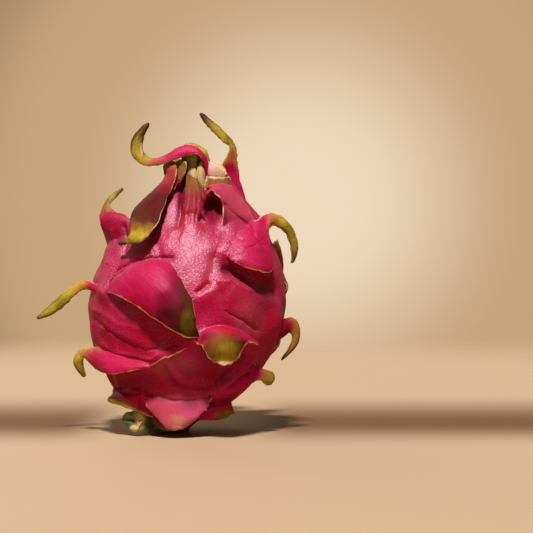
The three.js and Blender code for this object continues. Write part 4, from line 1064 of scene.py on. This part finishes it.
def skin_material(colours):
    """Waxy leather skin: pink to crimson, with maroon and olive scales, dried brown tips and
    papery margins, with painted shade in its creases and hollows and painted light on its bare
    skin."""
    n = Nodes(bpy.data.materials.new("pitaya_skin"))
    places = n.object_places()
    grown = n.attribute("grown")
    # The patterns, each with the number of its bumps or cells in a metre.
    broad = n.noise(places, 28)
    patchy = n.noise(places, 95, 4, 0.6)
    wormy = n.noise(places, 520, 4, 0.6, "RIDGED_MULTIFRACTAL", 0.6)
    shake = n.noise(places, 380, 2, output="Color")
    shaken = n.vector("MULTIPLY_ADD", shake, (0.0028, 0.0028, 0.0028), places)
    crackle = n.ramp(n.cells(shaken, 720, "DISTANCE_TO_EDGE"), 0.0, 0.26)
    fine = n.noise(places, 1500, 3, 0.6)
    streaks = n.noise(n.stretched(n.attribute("grain", "Vector"), (1100, 90, 1)), 1, 3, 0.6)

    # The bare skin, with its bloom, darker lines, painted shade in the creases and pale specks.
    tone = n.blend(n.ramp(broad, 0.35, 0.68), colours.crimson, colours.pink)
    tone = n.blend(n.times(n.ramp(patchy, 0.45, 0.75), 0.35), tone, colours.bloom)
    cracks = n.times(n.less(crackle), n.less(n.times(grown, 0.34), 0.42))
    streaked = n.times(n.ramp(streaks, 0.48, 0.75), n.times(grown, 0.45))
    for darker in (
        n.times(n.ramp(wormy, 0.62, 0.2), 0.3), cracks, streaked,
        # painted shade in the creases
        n.times(n.attribute("crease_shade"), 0.55),
    ):
        tone = n.blend(darker, tone, colours.deep)
    specks = n.times(n.ramp(n.cells(places, 260), 0.16, 0.06), 0.4)
    tone = n.blend(specks, tone, colours.bloom)
    tone = n.blend(n.times(n.attribute("inner"), 0.45), tone, colours.crimson)
    # The pale tone: blush of bare tissue where a scale broke off, and painted light on the bare
    # skin.
    tone = n.blend(n.times(n.attribute("pale"), 0.8), tone, colours.blush_and_sheen)

    # What the attributes lay over it: maroon, also painted shade off the scales, olive, brown and
    # the papery margin.
    ragged = n.math("ADD", n.times(streaks, 0.5), n.times(patchy, 0.5))
    maroon = n.frayed(n.attribute("maroon"), ragged, 2.5)
    tone = n.blend(n.times(maroon, 0.92), tone, colours.maroon)
    olive = n.blend(n.ramp(patchy, 0.28, 0.6), colours.olive, colours.lime)
    olive = n.blend(n.times(n.ramp(streaks, 0.5, 0.7), 0.4), olive, colours.bark)
    tone = n.blend(n.frayed(n.attribute("green"), ragged, 3.0), tone, olive)
    brown = n.frayed(n.attribute("brown"), ragged, 3.5)
    tone = n.blend(brown, tone, colours.bark)
    uneven = n.times(n.math("SUBTRACT", patchy, 0.5), 0.4)
    dry = n.ramp(n.math("ADD", n.attribute("dry"), uneven), 0.5, 0.9)
    paper = n.blend(n.ramp(fine, 0.4, 0.65), colours.straw, colours.paper)
    n.give("Base Color", n.blend(n.times(dry, n.less(n.times(brown, 0.5))), tone, paper))

    # Gloss and relief. The wax shines most where the skin faces up.
    gloss = n.ramp(patchy, 0.3, 0.75, 0.47, 0.56)
    n.give("Roughness", n.math("ADD", gloss, n.times(dry, 0.35), clamp=True))
    relief = n.bump(n.times(wormy, n.less(n.times(grown, 0.6))), WORM_DEPTH, 0.5)
    on_body = n.times(n.ramp(broad, 0.25, 0.6, 0.35, 1.0), n.less(n.times(grown, 0.65)))
    relief = n.bump(n.times(crackle, on_body), CRACKLE_DEPTH, 0.6, Normal=relief)
    relief = n.bump(n.times(streaks, grown), STREAK_DEPTH, 0.7, Normal=relief)
    n.give("Normal", n.bump(fine, GRAIN_DEPTH, 0.5, Normal=relief))
    up = n.axes(n.add("ShaderNodeNewGeometry").outputs["Normal"])["Z"]
    bloomed = n.times(n.ramp(up, -0.1, 0.4, 0.1, 1.0), n.ramp(grown, 0, 0.6, 1.0, 0.2))
    bloomed = n.times(bloomed, n.ramp(n.attribute("maroon"), 0.1, 0.7, 1.0, 0.15))
    n.give("Specular IOR Level", bloomed)
    n.give("Specular Tint", (1, 0.82, 0.98, 1))
    n.give("Subsurface Weight", 0.12)
    n.give("Subsurface Radius", (1.0, 0.2, 0.12))
    n.give("Subsurface Scale", 0.003)
    return n.owner


def stem_material(colours):
    """Green rind with corky corners, and a cut, dried end that is darkened further by painted
    shade.
    """
    n = Nodes(bpy.data.materials.new("stem_rind"))
    places = n.object_places()
    broad = n.noise(places, 130, 4, 0.6)
    fibres = n.noise(places, 900, 4, 0.65)
    tone = n.blend(n.ramp(broad, 0.42, 0.85), colours.rind, colours.lime)
    tone = n.blend(n.frayed(n.attribute("cork"), broad, 3.5), tone, colours.straw)
    # The cut mark: dried brown and painted shade.
    tone = n.blend(n.frayed(n.attribute("cut"), fibres, 2.5), tone, colours.bark)
    tone = n.blend(n.times(n.ramp(fibres, 0.55, 0.8), 0.4), tone, colours.bark)
    n.give("Base Color", tone)
    n.give("Roughness", n.ramp(broad, 0.3, 0.7, 0.5, 0.75))
    n.give("Normal", n.bump(fibres, FIBRE_DEPTH, 0.7))
    return n.owner


def flower_material(colours):
    """Straw-dry petals with fibres along them."""
    n = Nodes(bpy.data.materials.new("dried_petal"))
    uv = n.add("ShaderNodeUVMap", uv_map="petal").outputs["UV"]
    fibres = n.noise(n.stretched(uv, (26, 2.2, 1)), 1, 4, 0.6)
    blotches = n.noise(n.object_places(), 260, 3, 0.6)
    tone = n.blend(n.ramp(fibres, 0.28, 0.46), colours.bark, colours.straw)
    tone = n.blend(n.times(n.ramp(blotches, 0.5, 0.75), 0.4), tone, colours.paper)
    n.give("Base Color", tone)
    n.give("Roughness", n.ramp(fibres, 0.3, 0.7, 0.65, 0.85))
    n.give("Normal", n.bump(fibres, FIBRE_DEPTH, 0.8))
    return n.owner


def floor_material(colours):
    """A matt floor, shaded in a band beside the fruit, that fades into the sweep behind it."""
    n = Nodes(bpy.data.materials.new("pale_floor"))
    places = n.object_places()
    tone = n.blend(n.noise(places, 3), colours.floor, [c * 0.96 for c in colours.floor])
    parts = n.axes(places)
    shade = n.times(n.ramp(parts["Y"], -0.06, 0.03), n.ramp(parts["Y"], 0.19, 0.04))
    beside = n.ramp(n.math("ABSOLUTE", parts["X"]), 0.02, 0.055)
    tone = n.blend(n.times(shade, n.times(beside, 0.85)), tone, (0.08, 0.02, 0))
    n.give("Base Color", tone)
    n.give("Roughness", 0.6)
    n.give("Specular IOR Level", 0.2)
    faded = n.add("ShaderNodeMixShader")
    clear = n.add("ShaderNodeBsdfTransparent").outputs[0]
    far = n.ramp(n.vector("LENGTH", places, output="Value"), *FLOOR_FADE)
    for value, socket in zip((far, n.shader.outputs[0], clear), faded.inputs):
        n.join(value, socket)
    n.join(faded.outputs[0], n.tree.nodes["Material Output"].inputs["Surface"])
    return n.owner


# ---- Settings -------------------------------------------------------------------------------


def colour(name, description, default):
    return FloatVectorProperty(
        name=name, description=description, default=default, subtype="COLOR", min=0, max=1
    )


def setting(name, description, default, low, high, kind=FloatProperty, **more):
    return kind(name=name, description=description, default=default, min=low, max=high, **more)


class PitayaShape(bpy.types.PropertyGroup):
    voxel: setting(
        "Joining grain", "Cell size at which body and scales are grown together",
        0.00038, 0.0002, 0.002, unit="LENGTH", precision=5,
    )
    fillet: setting(
        "Root fillet", "How far the skin is eased where a scale leaves it",
        0.0022, 0, 0.01, unit="LENGTH", precision=4,
    )
    wrinkle: setting(
        "Wrinkles", "Height of the skin's fine wrinkles",
        0.00006, 0, 0.001, unit="LENGTH", precision=5,
    )
    faces: setting(
        "Triangles", "Triangles of the finished fruit", 190000, 20000, 198000, IntProperty
    )


class PitayaColours(bpy.types.PropertyGroup):
    pink: colour("Pink", "Skin where it is lightest", (0.52, 0.011, 0.08))
    crimson: colour("Crimson", "Skin where it is reddest", (0.44, 0.002, 0.024))
    bloom: colour("Bloom", "Pale wax and specks on the skin", (0.6, 0.05, 0.19))
    # Blush also stands for painted light on the bare skin, through the pale blots.
    blush_and_sheen: colour("Blush", "Bare tissue where a scale broke off", (0.8, 0.38, 0.46))
    # Deep red also stands for the painted shade in the creases.
    deep: colour("Deep red", "Skin in its wrinkles", (0.22, 0.002, 0.02))
    # Maroon also stands for painted shade on the bare skin, through the maroon blots.
    maroon: colour("Maroon", "Scales where they darken", (0.042, 0.004, 0.005))
    olive: colour("Olive", "Green of the scales", (0.14, 0.11, 0.005))
    lime: colour("Lime", "Green where it is lightest", (0.4, 0.3, 0.018))
    bark: colour("Bark", "Dried brown", (0.04, 0.022, 0.01))
    straw: colour("Straw", "Dried tissue", (0.56, 0.38, 0.14))
    paper: colour("Paper", "Dried tissue where it is palest", (0.66, 0.5, 0.3))
    rind: colour("Rind", "Green of the cut stem", (0.06, 0.13, 0.02))
    floor: colour("Floor", "Floor", (0.45, 0.315, 0.185))


class PitayaStage(bpy.types.PropertyGroup):
    lens: setting("Lens", "Focal length in millimetres", 100, 20, 300)
    distance: setting(
        "Distance", "Camera's distance from the fruit's axis",
        0.6514, 0.2, 5, unit="LENGTH", precision=4,
    )
    key: setting("Key light", "Strength of the high soft light in front", 5.7, 0, 50)
    rim: setting(
        "Rim light", "Power of the light behind the left side", 5, 0, 500, unit="POWER"
    )
    surroundings: setting("Surroundings", "Strength of the light from all round", 0.36, 0, 10)


# ---- Operators ------------------------------------------------------------------------------


class PITAYA_OT_fruit(bpy.types.Operator):
    """Grow the fruit: its body and all its scales in one skin"""

    bl_idname = "pitaya.fruit"
    bl_label = "Fruit"

    def execute(self, context):
        shape = context.scene.pitaya_shape
        bm = bmesh.new()
        places, tones, grains, shares = grown_samples(bm)
        bmesh.ops.scale(bm, vec=(MM, MM, MM), verts=bm.verts)
        fruit = linked("pitaya_fruit", mesh_from(bm, "pitaya_fruit"))
        shaped(fruit, "REMESH", mode="VOXEL", voxel_size=shape.voxel)
        creased(filleted(fruit, places, shares, shape.fillet / MM))
        triangles = sum(len(p.vertices) - 2 for p in fruit.data.polygons)
        mesh = shaped(fruit, "DECIMATE", ratio=min(1, shape.faces / triangles))
        one_shell(mesh)
        painted(mesh, places, tones, grains, shares)
        wrinkled(mesh, shape.wrinkle / MM)
        low = vertex_rows(mesh)
        low[:, 2] = np.maximum(low[:, 2], 0)
        place_all(mesh, low)
        dress(fruit, skin_material(context.scene.pitaya_colours), "fruit")
        return {"FINISHED"}


STEM_FROM, STEM_TO = Vector((-3, -4, 5)), Vector((-18, -18.5, 6.8))
# The stem's radius, how much wider it is at its foot and how far it thins from there.
STEM_RADIUS, STEM_FOOT, STEM_TAPER = 4.7, 1.15, 0.13
# Its cut end, as shares of the radius and heights over the end.
STEM_END = ((0.86, 0.3), (0.56, 0), (0.47, -1), (0.24, -1.4), (0, -1.2))
STEM_RIDGES, STEM_RIDGE = 3, 0.2
STEM_BUMPS = ((0.06, 2.2, 41), (0.03, 0.9, 42))
STEM_TEAR = ((1.3, 2.6, 43),)
STEM_TORN = 4.5  # length that is torn
STEM_BEVEL = 0.35  # of the cut end, which is turned to the front
STEM_PUSH = 0.42  # how far the end's middle is pushed aside, as a share of the radius
STEM_STEPS, STEM_RINGS = 72, 24
# Where the cut end is corky and where it is dark, seen from the front: a place and its reach.
# The dark mark is dried tissue with painted shade over it.
STEM_MARKS = (
    (-16.8, 4, 2.4, 4, "cork"), (-12.2, 3.6, 2.2, 4.4, "cut"), (-19.4, 1.6, 2, 1.4, "cork"),
)


class PITAYA_OT_stem(bpy.types.Operator):
    """Model the cut stem at the fruit's foot"""

    bl_idname = "pitaya.stem"
    bl_label = "Cut stem"

    def execute(self, context):
        way = STEM_TO - STEM_FROM
        turn = Vector((0, 0, 1)).rotation_difference(way)
        shares = [k / STEM_RINGS for k in range(STEM_RINGS + 1)]
        rows = [(STEM_RADIUS * STEM_FOOT * (1 - STEM_TAPER * t), way.length * t) for t in shares]
        end = [(STEM_RADIUS * share, way.length + over) for share, over in STEM_END]
        bm = bmesh.new()
        places, radius, z = spun(bm, [(0, 0)] + rows + end, STEM_STEPS)
        corners = np.cos(STEM_RIDGES * np.arctan2(places[:, 1], places[:, 0]))
        uneven = STEM_RIDGE * corners + bumps_at(places, STEM_BUMPS)
        spread = 1 + uneven * np.clip(radius / STEM_RADIUS, 0, 1)
        at_end = smooth(z - way.length + STEM_TORN)
        torn = at_end * bumps_at(places, STEM_TEAR)
        middle = at_end * smooth((0.9 - radius / STEM_RADIUS) / 0.1)
        near = turn.inverted() @ Vector((-way.y, way.x, 0)).normalized()
        for v, share, push, tear in zip(bm.verts, spread, middle, torn):
            back = STEM_BEVEL * (v.co.x * near.x + v.co.y * near.y) * (v.co.z / way.length) ** 2
            v.co = Vector((v.co.x * share, v.co.y * share, v.co.z - back - tear))
            v.co = turn @ (v.co + near * STEM_RADIUS * STEM_PUSH * push) + STEM_FROM
            v.co.z = max(v.co.z, 0)
        placed = np.array([v.co for v in bm.verts])
        x, z, _ = front_view(placed, np.zeros_like(placed))
        marks = {"cut": np.zeros(len(placed)), "cork": 0.3 * smooth((corners - 0.55) / 0.4)}
        for *spread, name in STEM_MARKS:
            marks[name] = np.maximum(marks[name], blot_at(x, z, *spread))
        bmesh.ops.scale(bm, vec=(MM, MM, MM), verts=bm.verts)
        mesh = mesh_from(bm, "pitaya_stem_stub")
        for name, values in marks.items():
            add_layer(mesh, name, values)
        stem = linked("pitaya_stem_stub", mesh)
        dress(stem, stem_material(context.scene.pitaya_colours), "stem_stub")
        return {"FINISHED"}


PLUG_RADIUS = 5.5
PETAL_FLOOR = BODY_HEIGHT - 8.3
PETALS, PETAL_HEIGHT, PETAL_HALF = 15, 15, 2.3
PETAL_SPLAY, PETAL_TWIST = (-1, 2.4), (-50, 50)
PETAL_THINNESS = 0.55  # of a scale's thickness
PETAL_SEED = 60
# The strips that show in front: the left, the right and the folded one.
FRONT_PETALS = (
    blade("small", 0.3, bow=(0.9, 0.5),
        a=drawn((3.6, 106, -8.5), (4, 112, -9), (4.6, 117, -9.5), (5.6, 121.6, -10)),
        b=drawn((8, 106, -8.5), (8, 112, -9.5), (8.2, 117.5, -10), (8.5, 121.8, -10))),
    blade("small", 0.3, bow=(0.9, 0.6),
        a=drawn((8, 106, -10.5), (7.9, 111, -11), (8.5, 115.4, -11.2), (10.2, 119, -11)),
        b=drawn((12, 106, -9.5), (12.1, 111, -10.2), (11.9, 115.4, -10.4), (11, 119.2, -10.6))),
    blade("small", 0.3, bow=(0.7, 0.6),
        a=drawn((3.8, 106, -11.6), (4.6, 110, -12.4), (5.4, 113, -13), (7.1, 115.6, -13)),
        b=drawn((8.6, 106, -11.8), (8.6, 109, -12.8), (8.4, 111.4, -13.4), (7.6, 115.4, -13.2))),
)


def petal(numbers, number):
    """A dried petal: a narrow folded strip that stands in the crown."""
    angle = 360 * (number + mix(-0.3, 0.3, next(numbers))) / PETALS
    tall = PETAL_HEIGHT * mix(0.7, 1, next(numbers))
    splay = mix(*PETAL_SPLAY, next(numbers))
    twist = mix(*PETAL_TWIST, next(numbers))
    ring = PLUG_RADIUS * mix(0.45, 0.85, next(numbers))
    half = PETAL_HALF * mix(0.7, 1.1, next(numbers))
    a, b = [], []
    for share in (0, 0.35, 0.7, 1):
        width = half * (1 - 0.7 * share**2)
        out = ring + splay * share**2
        turned, across = math.radians(angle), math.radians(angle + 90 + twist * share)
        for edge, side in ((a, -width), (b, width)):
            edge.append((
                LEAN * PETAL_FLOOR + out * math.sin(turned) + side * math.sin(across),
                -out * math.cos(turned) - side * math.cos(across),
                PETAL_FLOOR + tall * share,
            ))
    return blade("small", 0.5, a, b, bow=(1.1, 0.5))


class PITAYA_OT_flower(bpy.types.Operator):
    """Model the dried remains of the flower in the crown"""

    bl_idname = "pitaya.flower"
    bl_label = "Dried flower"

    def execute(self, context):
        bm = bmesh.new()
        place = bm.verts.layers.int.new("place")
        uvs = bm.loops.layers.uv.new("petal")
        numbers = number_source(SEED + 2)
        strips = [petal(numbers, number) for number in range(PETALS)] + list(FRONT_PETALS)
        for number, strip in enumerate(strips):
            first = len(bm.faces)
            outer, inner, *_ = blade_sheet(strip, number + PETAL_SEED)
            centre = (outer + inner) / 2
            blade_mesh(bm, *(mix(centre, face, PETAL_THINNESS) for face in (outer, inner)))
            bm.faces.ensure_lookup_table()
            row = outer.shape[1]
            for face in bm.faces[first:]:
                for loop in face.loops:
                    index = loop.vert[place]
                    loop[uvs].uv = (index % row / row + number, index // row / row)
        bmesh.ops.recalc_face_normals(bm, faces=bm.faces)
        bmesh.ops.scale(bm, vec=(MM, MM, MM), verts=bm.verts)
        flower = linked("pitaya_flower_remains", mesh_from(bm, "pitaya_flower_remains"))
        material = flower_material(context.scene.pitaya_colours)
        dress(flower, material, "flower_remains")
        return {"FINISHED"}


# The way to the sweep's palest place behind the fruit, and the sweep's tints round it.
PALEST_WAY = (0.023, 0.998, 0.045)
SWEEP_PALE, SWEEP_SAND, SWEEP_TAN = (0.86, 0.69, 0.51), (0.57, 0.375, 0.2), (0.36, 0.23, 0.11)
ROOM_TINT = (1, 0.76, 0.52)
# The way that the key light shines, how many degrees wide it looks, and its tint.
KEY_WAY, KEY_SOFTNESS, KEY_TINT = (0.06, 0.57, -0.82), 7.5, (1, 0.97, 1)
RIM_PLACE, RIM_AIM, RIM_SIZE, RIM_TINT = (-0.9, 1.5, 1.3), (0.01, 0, 0.06), 0.9, (1, 0.93, 0.86)
CAMERA_X, CAMERA_Z = 0.0389, 0.0724
FLOOR_RADIUS, FLOOR_DROP = 1.2, 0.0002  # it lies just under the foot


def studio_world(strength):
    """A cream sweep, palest behind the fruit. The room lights it more from behind than from the
    front, so the shadows stay deep."""
    n = Nodes(bpy.data.worlds.new("studio"), "Background")
    way = n.add("ShaderNodeTexCoord").outputs["Generated"]
    away = n.vector("DISTANCE", way, PALEST_WAY, output="Value")
    sweep = n.blend(n.ramp(away, 0.03, 0.155), SWEEP_PALE, SWEEP_SAND)
    sweep = n.blend(n.ramp(away, 0.18, 0.26), sweep, SWEEP_TAN)
    parts = n.axes(way)
    lit = n.ramp(parts["Y"], -0.6, 0.9, 0.35, 1.0)
    lit = n.times(lit, n.ramp(parts["X"], 0, 0.8, 1.0, 0.25))
    room = n.blend(n.times(lit, strength), (0, 0, 0), ROOM_TINT)
    by_eye = n.add("ShaderNodeLightPath").outputs["Is Camera Ray"]
    n.give("Color", n.blend(by_eye, room, sweep))
    return n.owner


def new_light(name, kind, way, power, tint, **settings):
    light = bpy.data.lights.new(name, kind)
    light.energy, light.color = power, tint
    for key, value in settings.items():
        setattr(light, key, value)
    thing = linked(name, light)
    thing.rotation_euler = Vector(way).to_track_quat("-Z", "Y").to_euler()
    return thing


class PITAYA_OT_stage(bpy.types.Operator):
    """Set the pale floor, the soft lights and the camera"""

    bl_idname = "pitaya.stage"
    bl_label = "Stage"

    def execute(self, context):
        scene = context.scene
        settings = scene.pitaya_stage
        bm = bmesh.new()
        bmesh.ops.create_circle(bm, cap_ends=True, segments=128, radius=FLOOR_RADIUS)
        bmesh.ops.translate(bm, vec=(0, 0, -FLOOR_DROP), verts=bm.verts)
        floor = linked("floor", mesh_from(bm, "floor"))
        floor.data.materials.append(floor_material(scene.pitaya_colours))

        scene.world = studio_world(settings.surroundings)
        softness = math.radians(KEY_SOFTNESS)
        new_light("key", "SUN", KEY_WAY, settings.key, KEY_TINT, angle=softness)
        way = Vector(RIM_AIM) - Vector(RIM_PLACE)
        rim = new_light("rim", "AREA", way, settings.rim, RIM_TINT, shape="DISK", size=RIM_SIZE)
        rim.location = RIM_PLACE

        camera = linked("camera", bpy.data.cameras.new("camera"))
        camera.data.lens = settings.lens
        camera.data.sensor_width = 36
        camera.location = (CAMERA_X, -settings.distance, CAMERA_Z)
        camera.rotation_euler = (math.pi / 2, 0, 0)
        scene.camera = camera
        scene.view_settings.view_transform = "Standard"
        return {"FINISHED"}


OPERATORS = (PITAYA_OT_fruit, PITAYA_OT_stem, PITAYA_OT_flower, PITAYA_OT_stage)
GROUPS = {
    "pitaya_shape": PitayaShape, "pitaya_colours": PitayaColours, "pitaya_stage": PitayaStage,
}


class PITAYA_PT_panel(bpy.types.Panel):
    """The fruit's pieces and settings"""

    bl_label = "Pitaya"
    bl_idname = "PITAYA_PT_panel"
    bl_space_type = "VIEW_3D"
    bl_region_type = "UI"
    bl_category = "Pitaya"

    def draw(self, context):
        for name, group in GROUPS.items():
            box = self.layout.box()
            for key in group.__annotations__:
                box.prop(getattr(context.scene, name), key)
        for operator in OPERATORS:
            self.layout.operator(operator.bl_idname)


CLASSES = (*GROUPS.values(), *OPERATORS, PITAYA_PT_panel)


def register():
    for cls in CLASSES:
        bpy.utils.register_class(cls)
    for name, group in GROUPS.items():
        setattr(bpy.types.Scene, name, PointerProperty(type=group))


def unregister():
    for name in GROUPS:
        delattr(bpy.types.Scene, name)
    for cls in reversed(CLASSES):
        bpy.utils.unregister_class(cls)


def main():
    register()
    for step in (bpy.ops.pitaya.fruit, bpy.ops.pitaya.stem, bpy.ops.pitaya.flower,
                 bpy.ops.pitaya.stage):
        step()


if __name__ == "__main__":
    main()
